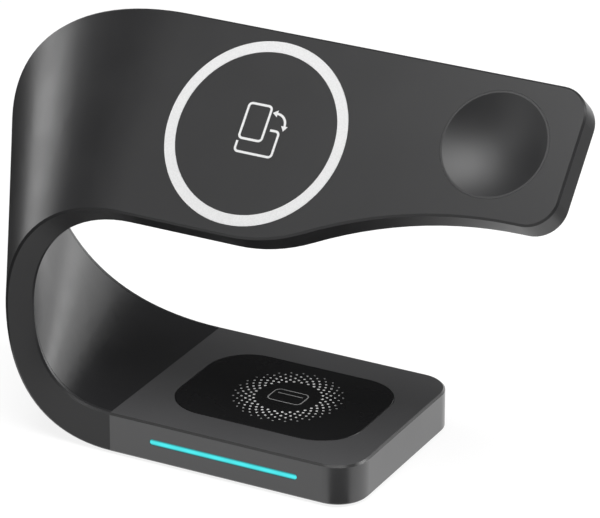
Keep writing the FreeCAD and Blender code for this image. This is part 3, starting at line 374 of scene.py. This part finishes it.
def blank_material(name):
    """A material that has only its output node, and that node's surface socket."""
    material = bpy.data.materials.new(name)
    material.use_nodes = True
    tree = material.node_tree
    tree.nodes.clear()
    output = tree.nodes.new("ShaderNodeOutputMaterial")
    return material, tree, output.inputs["Surface"]


def new_material(name):
    """A material with one Principled shader, and the piece's own coordinates."""
    material, tree, surface = blank_material(name)
    shader = tree.nodes.new("ShaderNodeBsdfPrincipled")
    tree.links.new(shader.outputs["BSDF"], surface)
    place = add(tree, "ShaderNodeTexCoord")
    return material, tree, shader, place.outputs["Object"]


def tone(rgb, factor):
    """A colour made lighter or darker."""
    return (*(min(1.0, channel * factor) for channel in rgb), 1.0)


def tint(tree, factor, first, second):
    """A colour that goes from first to second as the factor goes from 0 to 1."""
    mix = add(tree, "ShaderNodeMix", {"Factor": factor}, data_type="RGBA")
    feed(tree, mix.inputs[MIX_FIRST], first)
    feed(tree, mix.inputs[MIX_SECOND], second)
    return mix.outputs[MIX_RESULT]


def between(tree, factor, first, last):
    """A number that goes from first to last over the middle of a noise's range."""
    return remap(tree, factor, NOISE_LOW, NOISE_HIGH, first, last)


def vary_colour(tree, shader, factor, rgb, dark, light):
    """Takes the shader's colour from a dark to a light tone as the factor goes from 0 to 1."""
    shade = tint(tree, factor, tone(rgb, dark), tone(rgb, light))
    tree.links.new(shade, shader.inputs["Base Color"])


def vary_roughness(tree, shader, factor, first, last):
    """Takes the shader's roughness from first to last over the middle of a noise's range."""
    tree.links.new(between(tree, factor, first, last), shader.inputs["Roughness"])


def raise_bump(tree, shader, height, distance):
    """Turns a height into the shader's normal."""
    bump = add(tree, "ShaderNodeBump", {"Height": height, "Distance": distance, "Strength": 1.0})
    tree.links.new(bump.outputs["Normal"], shader.inputs["Normal"])


# Finishes

def plastic(name, rgb, rough, grain, depth, drift=0.06, edge=0.5, painted_edge_tone=1.8, coat=0.0,
            shine=0.5, edges=("painted_edge_highlights", edge_group)):
    """Moulded plastic: fine grain, a slow drift of tone, and edges painted lighter as a highlight
    or darker as shade.
    """
    material, tree, shader, place = new_material(name)
    surface = add(tree, "ShaderNodeGroup", {"Vector": place, "Grain Scale": 1.0 / grain},
                  node_tree=shared_group("moulded_grain", grain_group)).outputs
    # The mask marks the edges that get a painted highlight or painted shade; there the coat also
    # thins.
    edge_shading_mask = add(tree, "ShaderNodeGroup", node_tree=shared_group(*edges)).outputs["Mask"]
    body = tint(tree, surface["Drift"], tone(rgb, 1.0 - drift), tone(rgb, 1.0 + drift))
    # Near edges the colour moves towards the edge tone: above 1 it paints a highlight, below 1 it
    # paints shade.
    edge_shading_share = work_out(tree, "MULTIPLY", edge_shading_mask, edge)
    edge_shaded_colour = tint(tree, edge_shading_share, body, tone(rgb, painted_edge_tone))
    tree.links.new(edge_shaded_colour, shader.inputs["Base Color"])
    vary_roughness(tree, shader, surface["Drift"], rough - ROUGH_DRIFT, rough + ROUGH_DRIFT)
    shader.inputs["Specular IOR Level"].default_value = shine
    if coat:
        coated = remap(tree, edge_shading_mask, 0.0, 1.0, low=coat, high=0.0)
        tree.links.new(coated, shader.inputs["Coat Weight"])
        shader.inputs["Coat Roughness"].default_value = rough
    raise_bump(tree, shader, surface["Height"], depth)
    return material


def metal(name, rgb, rough, stretch):
    """Drawn or plated metal, with fine marks along the stretched way."""
    material, tree, shader, place = new_material(name)
    drawn = add(tree, "ShaderNodeMapping", {"Vector": place, "Scale": stretch})
    marks = noise(tree, drawn.outputs["Vector"], scale=900.0, detail=3.0)
    vary_colour(tree, shader, marks, rgb, dark=0.85, light=1.12)
    vary_roughness(tree, shader, marks, rough - METAL_SMOOTHER, rough + METAL_ROUGHER)
    shader.inputs["Metallic"].default_value = 1.0
    raise_bump(tree, shader, marks, distance=0.004 * MM)
    return material


def white_speckle(name, rgb):
    """Satin white with a fine speckle."""
    material, tree, shader, place = new_material(name)
    speckle = noise(tree, place, scale=2200.0, detail=1.0)
    level = between(tree, speckle, first=0.0, last=1.0)
    vary_colour(tree, shader, level, rgb, dark=0.95, light=1.04)
    vary_roughness(tree, shader, speckle, first=0.45, last=0.6)
    raise_bump(tree, shader, speckle, distance=0.006 * MM)
    return material


def panel_black(name, rgb):
    """Smooth black lacquer, with faint wipe marks in its gloss."""
    material, tree, shader, place = new_material(name)
    surface = add(tree, "ShaderNodeGroup",
                  {"Vector": place, "Grain Scale": 6000.0, "Drift Scale": 45.0},
                  node_tree=shared_group("moulded_grain", grain_group)).outputs
    vary_colour(tree, shader, surface["Drift"], rgb, dark=0.9, light=1.1)
    vary_roughness(tree, shader, surface["Drift"], first=0.24, last=0.32)
    shader.inputs["Specular IOR Level"].default_value = 0.18
    raise_bump(tree, shader, surface["Height"], distance=0.0004 * MM)
    return material


def lit_bar(name, rgb, chips, low, high, middle, half):
    """Frosted bar lit from behind, brighter along its middle and before each light chip."""
    material, tree, shader, place = new_material(name)
    spots = add(tree, "ShaderNodeMapping", {"Vector": place, "Location": (-low, 0.0, 0.0)})
    glow = wave(tree, spots.outputs["Vector"], high - low, waves=chips, phase=-math.pi / 2,
                wave_type="BANDS", bands_direction="X")
    frost = noise(tree, place, scale=2500.0, detail=1.0)
    lit = tint(tree, glow, tone(rgb, BAR_DIM), tone(rgb, BAR_BRIGHT))
    height = add(tree, "ShaderNodeSeparateXYZ", {"Vector": place}).outputs["Z"]
    away = work_out(tree, "ABSOLUTE", work_out(tree, "SUBTRACT", height, middle))
    fall = remap(tree, away, BAR_CORE * half, half)
    fallen = tint(tree, fall, lit, tone(rgb, BAR_EDGE_TONE))
    tree.links.new(fallen, shader.inputs["Emission Color"])
    shader.inputs["Emission Strength"].default_value = 1.0
    shader.inputs["Base Color"].default_value = tone(rgb, BAR_UNLIT_TONE)
    vary_roughness(tree, shader, frost, first=0.45, last=0.6)
    return material


def wound_copper(name, rgb, middle, turn):
    """Varnished wire, wound in rings round the coil's middle."""
    material, tree, shader, place = new_material(name)
    flat = add(tree, "ShaderNodeMapping", {"Vector": place, "Location": middle, "Rotation": turn},
               vector_type="TEXTURE")
    turns = wave(tree, flat.outputs["Vector"], WIRE_PITCH, wave_type="RINGS", rings_direction="Z")
    # The colour darkens in the grooves between the turns as painted shade, and is a little lighter
    # on their crowns.
    vary_colour(tree, shader, turns, rgb, dark=0.25, light=1.1)
    vary_roughness(tree, shader, turns, first=0.45, last=0.25)
    shader.inputs["Metallic"].default_value = 1.0
    raise_bump(tree, shader, turns, distance=0.2 * MM)
    return material


def circuit_board(name, rgb):
    """Solder resist over a faint net of tracks."""
    material, tree, shader, place = new_material(name)
    tracks = add(tree, "ShaderNodeTexBrick", {"Vector": place, "Scale": 260.0, "Mortar Size": 0.06,
                                              "Color1": tone(rgb, 0.9), "Color2": tone(rgb, 1.1),
                                              "Mortar": tone(rgb, 1.7)})
    tree.links.new(tracks.outputs["Color"], shader.inputs["Base Color"])
    vary_roughness(tree, shader, tracks.outputs["Fac"], first=0.4, last=0.5)
    raise_bump(tree, shader, tracks.outputs["Fac"], distance=0.03 * MM)
    return material


def flat_film(name, rgb, pitch):
    """White film cable with its conductors showing through as faint lines."""
    material, tree, shader, place = new_material(name)
    lines = wave(tree, place, pitch, wave_type="BANDS", bands_direction="Y")
    vary_colour(tree, shader, lines, rgb, dark=0.8, light=1.0)
    vary_roughness(tree, shader, lines, first=0.4, last=0.5)
    raise_bump(tree, shader, lines, distance=0.03 * MM)
    return material


def printed_ink(name, rgb, middle=None, fade=None):
    """Ink that covers a little unevenly, and fades outwards from a middle where a fade is given."""
    material, tree, shader, place = new_material(name)
    cover = noise(tree, place, scale=1800.0, detail=2.0)
    inked = tint(tree, cover, tone(rgb, INK_THIN), tone(rgb, INK_FULL))
    if fade:
        inner, outer, faint = fade
        away = add(tree, "ShaderNodeVectorMath", {0: place, 1: middle}, operation="DISTANCE")
        span = remap(tree, away.outputs["Value"], inner, outer)
        inked = tint(tree, span, inked, tone(rgb, faint))
    tree.links.new(inked, shader.inputs["Base Color"])
    vary_roughness(tree, shader, cover, first=0.45, last=0.6)
    return material


# Pieces

def dress(material, *nodes):
    """Gives CAD nodes a finish."""
    for name in nodes:
        slots = frame["nodes"][name].data.materials
        slots.clear()
        slots.append(material)


def middle_of(node):
    """The middle of a node's box."""
    low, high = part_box(node)
    return (low + high) / 2


def mesh_from(bm, name):
    """A mesh from a bmesh, which is freed."""
    mesh = bpy.data.meshes.new(name)
    bm.to_mesh(mesh)
    bm.free()
    return mesh


def link_new(name, data):
    """A new object in the scene."""
    item = bpy.data.objects.new(name, data)
    bpy.context.scene.collection.objects.link(item)
    return item


def smooth_copy(node, material):
    """Replaces a node by its own form, with curved faces that shade evenly up to their tips."""
    bm = bmesh.new()
    bm.from_mesh(frame["nodes"][node].data)
    bmesh.ops.remove_doubles(bm, verts=bm.verts, dist=MERGE_REACH)
    mesh = mesh_from(bm, f"{node}_smooth")
    if "custom_normal" in mesh.attributes:
        mesh.attributes.remove(mesh.attributes["custom_normal"])
    mesh.shade_smooth()
    mesh.set_sharp_from_angle(angle=SHARP_TURN)
    mesh.materials.clear()
    mesh.materials.append(material)
    piece = link_new(mesh.name, mesh)
    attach(piece, BODY)
    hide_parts(node)


# Printed marks

def metres(points):
    """Points given in millimetres, in metres."""
    return [Vector(point) * MM for point in points]


def arc(middle, radius, start, end, steps):
    """Points along a circle, from one angle in degrees to another."""
    angles = (math.radians(start + (end - start) * step / steps) for step in range(steps + 1))
    return [Vector((middle[0] + radius * math.cos(a), middle[1] + radius * math.sin(a)))
            for a in angles]


def rounded(corners, radius, closed):
    """The outline through these corners, with each turn rounded."""
    points = [Vector(corner) for corner in corners]
    path = []
    for place, corner in enumerate(points):
        if not closed and place in (0, len(points) - 1):
            path.append(corner)
            continue
        before = (points[place - 1] - corner).normalized()
        after = (points[(place + 1) % len(points)] - corner).normalized()
        half = before.angle(after) / 2
        reach = radius / math.tan(half)
        heart = corner + (before + after).normalized() * (radius / math.sin(half))
        first, last = corner + before * reach - heart, corner + after * reach - heart
        turn = first.angle_signed(last)
        path += [heart + Matrix.Rotation(-turn * step / BEND_STEPS, 2) @ first
                 for step in range(BEND_STEPS + 1)]
    return path


def ink_stroke(bm, path, width, closed):
    """A line of ink along a path: a flat band with walls down to the surface."""
    rows = []
    last = len(path) - 1
    for place, point in enumerate(path):
        before = path[place - 1] if closed or place else point
        after = path[(place + 1) % len(path)] if closed or place < last else point
        into, out = (point - before), (after - point)
        way = (into.normalized() + out.normalized()).normalized()
        side = Vector((-way.y, way.x))
        spread = into if into.length else out
        mitre = abs(side.dot(Vector((-spread.y, spread.x)).normalized()))
        edge = side * (width / 2 / max(mitre, LEAST_MITRE))
        rows.append([bm.verts.new((*(point + sign * edge), height))
                     for sign, height in STROKE_SECTION])
    pairs = list(zip(rows, rows[1:]))
    if closed:
        pairs.append((rows[-1], rows[0]))
    for first, second in pairs:
        for low in range(len(STROKE_SECTION)):
            high = (low + 1) % len(STROKE_SECTION)
            bm.faces.new((first[low], first[high], second[high], second[low]))
    if not closed:
        bm.faces.new(rows[0])
        bm.faces.new(rows[-1])


def ink_patch(bm, outline):
    """A filled patch of ink with walls down to the surface."""
    low = [bm.verts.new((*point, 0.0)) for point in outline]
    high = [bm.verts.new((*point, INK_HEIGHT)) for point in outline]
    bm.faces.new(low)
    bm.faces.new(high)
    for place in range(len(outline)):
        after = (place + 1) % len(outline)
        bm.faces.new((low[place], low[after], high[after], high[place]))


def printed_piece(name, bm, axes, origin, material):
    """Lays a printed mark on its surface, and makes it a piece that rides on the body."""
    turn = Matrix(axes).transposed().to_4x4()
    bm.transform(Matrix.Translation(origin) @ turn)
    bmesh.ops.recalc_face_normals(bm, faces=bm.faces)
    mesh = mesh_from(bm, name)
    mesh.materials.append(material)
    piece = link_new(name, mesh)
    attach(piece, BODY)


def dot_tree(name):
    """Geometry nodes for rings of dots, each ring half a step on from the one inside it."""
    tree, start, end = new_group(
        name, "GeometryNodeTree",
        [(label, f"NodeSocket{kind}", None) for label, kind in DOT_INPUTS],
        [("Geometry", "NodeSocketGeometry")])
    given = start.outputs

    def spread(value, low, high):
        """A number that goes from low in the innermost ring to high in the outermost."""
        outermost = work_out(tree, "SUBTRACT", given["Rings"], 1.0)
        return remap(tree, value, 0.0, outermost, low, high)

    count = work_out(tree, "MULTIPLY", given["Rings"], given["Dots Round"])
    points = add(tree, "GeometryNodePoints", {"Count": count})
    index = add(tree, "GeometryNodeInputIndex").outputs[0]

    # Half a dot more keeps the division from rounding down to the ring before.
    past = work_out(tree, "ADD", index, 0.5)
    ring = work_out(tree, "FLOOR", work_out(tree, "DIVIDE", past, given["Dots Round"]))
    half_steps = work_out(tree, "MULTIPLY", ring, 0.5)
    step = work_out(tree, "DIVIDE", math.tau, given["Dots Round"])
    swept = work_out(tree, "MULTIPLY", work_out(tree, "ADD", index, half_steps), step)
    angle = work_out(tree, "ADD", swept, given["Turn"])
    radius = spread(ring, given["Inner Radius"], given["Outer Radius"])
    spot = add(tree, "ShaderNodeCombineXYZ",
               {"X": work_out(tree, "MULTIPLY", radius, work_out(tree, "COSINE", angle)),
                "Y": work_out(tree, "MULTIPLY", radius, work_out(tree, "SINE", angle))})
    placed = add(tree, "ShaderNodeVectorMath", {0: spot.outputs[0], 1: given["Middle"]},
                 operation="ADD")
    laid = add(tree, "GeometryNodeSetPosition",
               {"Geometry": points.outputs[0], "Position": placed.outputs[0]})
    size = spread(ring, given["Large Dot"], given["Small Dot"])
    shape = add(tree, "ShaderNodeCombineXYZ", {"X": size, "Y": size, "Z": given["Dot Height"]})
    dot = add(tree, "GeometryNodeMeshCylinder",
              {"Vertices": DOT_SIDES, "Radius": 1.0, "Depth": 2.0})
    dots = add(tree, "GeometryNodeInstanceOnPoints",
               {"Points": laid.outputs[0], "Instance": dot.outputs["Mesh"],
                "Scale": shape.outputs[0]})
    whole = add(tree, "GeometryNodeRealizeInstances", {"Geometry": dots.outputs[0]})
    inked = add(tree, "GeometryNodeSetMaterial",
                {"Geometry": whole.outputs[0], "Material": given["Ink"]})
    tree.links.new(inked.outputs[0], end.inputs["Geometry"])
    return tree


class CHARGER_OT_shells(Operator):
    """Moulded plastic on the arm, plate, base and covers"""

    bl_idname = "charger.shells"
    bl_label = "Finish shells"

    def execute(self, context):
        finish = context.scene.charger_finish
        grain, depth, rough = finish.grain, finish.grain_depth, finish.gloss
        # The edges of the arm, the dish and the covers get a painted highlight, a lighter tone of
        # their colour.
        dress(plastic("arm_plastic", finish.body, rough, grain, depth, shine=BODY_SHINE),
              "arm_shell")
        # The base's chamfers get painted shade: a dark tone of its colour, and no coat there.
        dress(plastic("base_plastic", finish.base, rough, grain, depth, edge=1.0, painted_edge_tone=0.2,
                      coat=0.7, edges=("painted_chamfer_shade", slope_group)), "base_housing")
        smooth_copy("watch_dish", plastic("dish_plastic", finish.body, rough + DISH_ROUGHER, grain,
                                          depth * DISH_GRAIN_SHARE))
        dress(plastic("cover_plastic", finish.cover, rough - COVER_SMOOTHER, grain, depth),
              "arm_cover", "base_cover")
        return {"FINISHED"}


class CHARGER_OT_inlays(Operator):
    """Panel, white ring and lit bar"""

    bl_idname = "charger.inlays"
    bl_label = "Finish inlays"

    def execute(self, context):
        finish = context.scene.charger_finish
        dress(panel_black("panel_lacquer", finish.panel), "earbud_panel")
        dress(white_speckle("ring_white", finish.ring), "phone_ring")
        low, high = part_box("light_chips")
        spacing = (high.x - low.x) / LIGHT_CHIPS
        bar_low, bar_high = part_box("light_bar")
        dress(lit_bar("bar_light", finish.light, LIGHT_CHIPS,
                      low.x - spacing / 2, high.x + spacing / 2,
                      (bar_low.z + bar_high.z) / 2, BAR_HALF_HEIGHT), "light_bar")
        return {"FINISHED"}


class CHARGER_OT_underside(Operator):
    """Rubber pad, screws and charging inlet"""

    bl_idname = "charger.underside"
    bl_label = "Finish underside and inlet"

    def execute(self, context):
        dress(plastic("pad_rubber", RUBBER, rough=0.8, grain=0.8 * MM, depth=0.03 * MM, edge=0.2),
              "antislip_pad")
        dress(metal("screw_steel", SCREW_STEEL, rough=0.35, stretch=(1.0, 1.0, 6.0)),
              "cover_screws", "arm_screws")
        dress(metal("socket_steel", SOCKET_STEEL, rough=0.3, stretch=(1.0, 6.0, 1.0)),
              "usb_socket")
        dress(plastic("tongue_black", TONGUE_BLACK, rough=0.5, grain=0.3 * MM, depth=0.002 * MM),
              "usb_tongue")
        return {"FINISHED"}


class CHARGER_OT_inner_works(Operator):
    """Coils, ferrites, magnets, boards and their leads"""

    bl_idname = "charger.inner_works"
    bl_label = "Finish inner works"

    def execute(self, context):
        for node, turn in (("earbud_coil", NO_TURN), ("phone_coil", PLATE_TURN),
                           ("watch_coil", PLATE_TURN)):
            dress(wound_copper(f"{node}_copper", COPPER, middle_of(node), turn), node)
        dress(plastic("ferrite_grey", FERRITE_GREY, rough=0.6, grain=0.2 * MM, depth=0.01 * MM),
              "earbud_ferrite", "phone_ferrite", "watch_ferrite")
        dress(metal("magnet_nickel", NICKEL, rough=0.25, stretch=(1.0, 1.0, 1.0)),
              "phone_magnets", "watch_magnet")
        dress(circuit_board("board_green", BOARD_GREEN), "main_board", "light_board", "plate_board")
        dress(plastic("chip_black", CHIP_BLACK, rough=0.55, grain=0.3 * MM, depth=0.004 * MM),
              "board_chips", "board_inductors")
        dress(plastic("capacitor_tan", CAPACITOR_TAN, rough=0.4, grain=0.3 * MM, depth=0.003 * MM,
                      drift=0.12), "board_capacitors")
        dress(plastic("chip_cream", CHIP_CREAM, rough=0.35, grain=0.3 * MM, depth=0.002 * MM),
              "light_chips")
        dress(flat_film("cable_film", FILM_WHITE, FILM_PITCH), "arm_cable", "watch_lead")
        return {"FINISHED"}


class CHARGER_OT_phone_icon(Operator):
    """Icon inside the ring: a phone that may stand up or lie down"""

    bl_idname = "charger.phone_icon"
    bl_label = "Print phone icon"

    def execute(self, context):
        marks = context.scene.charger_marks
        bend = 1.1 * MM
        upright = metres([(-4.75, -2.2), (2.5, -2.2), (2.5, 8.55), (-4.75, 8.55)])
        lying = metres([(-4.75, -3.1), (-4.75, -6.25), (7.05, -6.25), (7.05, 1.65), (4.1, 1.65)])
        swing_middle, swing = Vector((4.75, 3.55)) * MM, 3.3 * MM
        swing_start, swing_end = 90, 0
        head_half, head_long = 1.05 * MM, 1.55 * MM
        bm = bmesh.new()
        ink_stroke(bm, rounded(upright, bend, True), marks.line, True)
        ink_stroke(bm, rounded(lying, bend, False), marks.line, False)
        ink_stroke(bm, arc(swing_middle, swing, swing_start, swing_end, 2 * BEND_STEPS),
                   marks.line, False)
        for angle, way in ((swing_start, 1), (swing_end, -1)):
            tip = arc(swing_middle, swing, angle, angle, 1)[0]
            outward = (tip - swing_middle).normalized()
            onward = Vector((-outward.y, outward.x)) * way
            ink_patch(bm, [tip - outward * head_half, tip + outward * head_half,
                           tip + onward * head_long])
        printed_piece("phone_icon", bm, PLATE_AXES, RING_MIDDLE,
                      printed_ink("icon_ink", marks.ink))
        return {"FINISHED"}


class CHARGER_OT_earbud_icon(Operator):
    """Icon in the middle of the panel: an earbud case with its lid line"""

    bl_idname = "charger.earbud_icon"
    bl_label = "Print earbud icon"

    def execute(self, context):
        marks = context.scene.charger_marks
        bend = 1.8 * MM
        case = metres([(-5.5, -3.65), (5.5, -3.65), (5.5, 3.65), (-5.5, 3.65)])
        lid = metres([(-4.1, 1.3), (4.1, 1.3)])
        bm = bmesh.new()
        ink_stroke(bm, rounded(case, bend, True), marks.thin_line, True)
        ink_stroke(bm, lid, marks.thin_line, False)
        printed_piece("earbud_icon", bm, PANEL_AXES, MARKS_MIDDLE,
                      printed_ink("faint_ink", marks.faint_ink))
        return {"FINISHED"}


class CHARGER_OT_dot_ring(Operator):
    """Rings of printed dots that mark where the earbud case goes"""

    bl_idname = "charger.dot_ring"
    bl_label = "Print dot ring"

    def execute(self, context):
        marks = context.scene.charger_marks
        ink = printed_ink("dot_ink", marks.ink, MARKS_MIDDLE, (FADE_START, FADE_END, FADE_LEFT))
        tree = dot_tree("dot_rings")
        values = {"Rings": marks.dot_rings, "Dots Round": marks.dots_round,
                  "Inner Radius": marks.dots_inner, "Outer Radius": marks.dots_outer,
                  "Large Dot": marks.dot_large, "Small Dot": marks.dot_small,
                  "Dot Height": INK_HEIGHT, "Turn": marks.dots_turn, "Middle": MARKS_MIDDLE,
                  "Ink": ink}
        maker = link_new("dot_maker", bpy.data.meshes.new("dot_maker"))
        modifier = maker.modifiers.new("dots", "NODES")
        modifier.node_group = tree
        for item in tree.interface.items_tree:
            if item.in_out == "INPUT":
                modifier[item.identifier] = values[item.name]
        graph = context.evaluated_depsgraph_get()
        mesh = bpy.data.meshes.new_from_object(maker.evaluated_get(graph), depsgraph=graph)
        bpy.data.objects.remove(maker)
        mesh.name = "dot_ring"
        piece = link_new("dot_ring", mesh)
        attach(piece, BODY)
        return {"FINISHED"}


# Stage

def softbox(name, place, width, height, level):
    """A rectangular lamp that faces the charger. Its level is how bright its face is."""
    lamp = bpy.data.lights.new(name, "AREA")
    lamp.shape = "RECTANGLE"
    lamp.size, lamp.size_y = width, height
    lamp.energy = LAMP_POWER * width * height * level
    holder = link_new(name, lamp)
    holder.location = place
    holder.rotation_euler = (Vector(place) - LAMP_AIM).to_track_quat("Z", "Y").to_euler()
    holder.visible_camera = False


def white_floor(name, rgb, glow):
    """A pale floor that looks white to the camera and in reflections, and keeps the shadow."""
    material, tree, surface = blank_material(name)
    path = add(tree, "ShaderNodeLightPath").outputs
    seen = work_out(tree, "MAXIMUM", path["Is Camera Ray"], path["Is Glossy Ray"])
    looked_at = work_out(tree, "MAXIMUM", seen, path["Is Transmission Ray"])
    plain = add(tree, "ShaderNodeBsdfDiffuse", {"Color": (*rgb, 1.0)})
    bright = add(tree, "ShaderNodeEmission", {"Strength": glow})
    lit = add(tree, "ShaderNodeAddShader", {0: plain.outputs[0], 1: bright.outputs[0]})
    mix = add(tree, "ShaderNodeMixShader", {0: looked_at, 1: plain.outputs[0], 2: lit.outputs[0]})
    tree.links.new(mix.outputs[0], surface)
    return material


def dark_card(name, corners, height, shade):
    """A dark card near the floor, out of the camera's sight, that darkens edges in reflections."""
    mesh = bpy.data.meshes.new(name)
    mesh.from_pydata([(*corner, height) for corner in corners], [], [(0, 1, 2, 3)])
    material, tree, shader, place = new_material(name)
    weave = noise(tree, place, scale=400.0)
    vary_colour(tree, shader, weave, (shade, shade, shade), dark=0.7, light=1.3)
    shader.inputs["Roughness"].default_value = 1.0
    mesh.materials.append(material)
    card = link_new(name, mesh)
    card.visible_camera = False
    card.visible_shadow = False


def corner_wedge():
    """The stretch of floor that the dark part of the base's front corner mirrors to the camera."""
    low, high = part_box("base_housing")
    heart = Vector((high.x - CORNER_RADIUS, low.y + CORNER_RADIUS))
    sides = []
    for facing in CORNER_DARK:
        mirrored = 2 * facing - CAMERA_AZIMUTH
        near = heart + Vector((math.sin(facing), -math.cos(facing))) * CORNER_RADIUS
        far = near + Vector((math.sin(mirrored), -math.cos(mirrored))) * CORNER_CARD_REACH
        sides.append((near, far))
    (first_near, first_far), (last_near, last_far) = sides
    return first_near, first_far, last_far, last_near


class CHARGER_OT_stage(Operator):
    """Floor, dark cards, lamps, light from all round and the camera"""

    bl_idname = "charger.stage"
    bl_label = "Set stage"

    def execute(self, context):
        stage = context.scene.charger_stage
        self.lay_floor(stage)
        dark_card("left_card", LEFT_CARD, SIDE_CARD_HEIGHT, LEFT_SHADE)
        dark_card("right_card", RIGHT_CARD, SIDE_CARD_HEIGHT, RIGHT_SHADE)
        dark_card("corner_card", corner_wedge(), CORNER_CARD_HEIGHT, CORNER_SHADE)
        for name, (place, width, height, level) in LAMPS.items():
            softbox(name, place, width, height, level * stage.light)
        self.light_world(context, stage)
        self.place_camera(context, stage)
        context.scene.view_settings.view_transform = "Standard"
        return {"FINISHED"}

    def lay_floor(self, stage):
        bm = bmesh.new()
        bmesh.ops.create_circle(bm, cap_ends=True, cap_tris=True, segments=FLOOR_SIDES,
                                radius=FLOOR_RADIUS)
        rim = [edge for edge in bm.edges if edge.is_boundary]
        wall = bmesh.ops.extrude_edge_only(bm, edges=rim)["geom"]
        for vert in (item for item in wall if isinstance(item, bmesh.types.BMVert)):
            vert.co *= FLOOR_LIP_SPREAD
            vert.co.z = FLOOR_LIP
        bmesh.ops.translate(bm, verts=bm.verts, vec=(0.0, 0.0, -FLOOR_GAP))
        mesh = mesh_from(bm, "floor")
        mesh.materials.append(white_floor("floor_white", stage.floor, FLOOR_GLOW))
        floor = link_new("floor", mesh)

    def light_world(self, context, stage):
        world = bpy.data.worlds.new("studio")
        world.use_nodes = True
        background = world.node_tree.nodes["Background"]
        background.inputs["Color"].default_value = WHITE
        background.inputs["Strength"].default_value = stage.fill
        context.scene.world = world

    def place_camera(self, context, stage):
        lens = bpy.data.cameras.new("photo_camera")
        lens.sensor_width, lens.lens = SENSOR_WIDTH, stage.lens
        camera = link_new("photo_camera", lens)
        camera.location = CAMERA_PLACE
        camera.rotation_euler = (math.pi / 2 - CAMERA_ELEVATION, 0.0, CAMERA_AZIMUTH)
        context.scene.camera = camera


OPERATORS = (CHARGER_OT_shells, CHARGER_OT_inlays, CHARGER_OT_underside, CHARGER_OT_inner_works,
             CHARGER_OT_phone_icon, CHARGER_OT_earbud_icon, CHARGER_OT_dot_ring, CHARGER_OT_stage)


class CHARGER_PT_looks(Panel):
    """Sidebar panel that lists the charger's sizes, colours and steps"""

    bl_idname = "CHARGER_PT_looks"
    bl_label = "Wireless charger"
    bl_space_type = "VIEW_3D"
    bl_region_type = "UI"
    bl_category = "Charger"

    def draw(self, context):
        for settings in SETTINGS:
            box = self.layout.box()
            group = getattr(context.scene, settings)
            for name in group.bl_rna.properties.keys():
                if name not in ("rna_type", "name"):
                    box.prop(group, name)
        for operator in OPERATORS:
            self.layout.operator(operator.bl_idname)


SETTINGS = {"charger_finish": ChargerFinish, "charger_marks": ChargerMarks,
            "charger_stage": ChargerStage}
CLASSES = (*SETTINGS.values(), *OPERATORS, CHARGER_PT_looks)


def register():
    for kind in CLASSES:
        bpy.utils.register_class(kind)
    for name, kind in SETTINGS.items():
        setattr(bpy.types.Scene, name, PointerProperty(type=kind))


def unregister():
    for name in SETTINGS:
        delattr(bpy.types.Scene, name)
    for kind in reversed(CLASSES):
        bpy.utils.unregister_class(kind)


def main():
    register()
    bpy.ops.charger.shells()
    bpy.ops.charger.inlays()
    bpy.ops.charger.underside()
    bpy.ops.charger.inner_works()
    bpy.ops.charger.phone_icon()
    bpy.ops.charger.earbud_icon()
    bpy.ops.charger.dot_ring()
    bpy.ops.charger.stage()


if __name__ == "__main__":
    main()
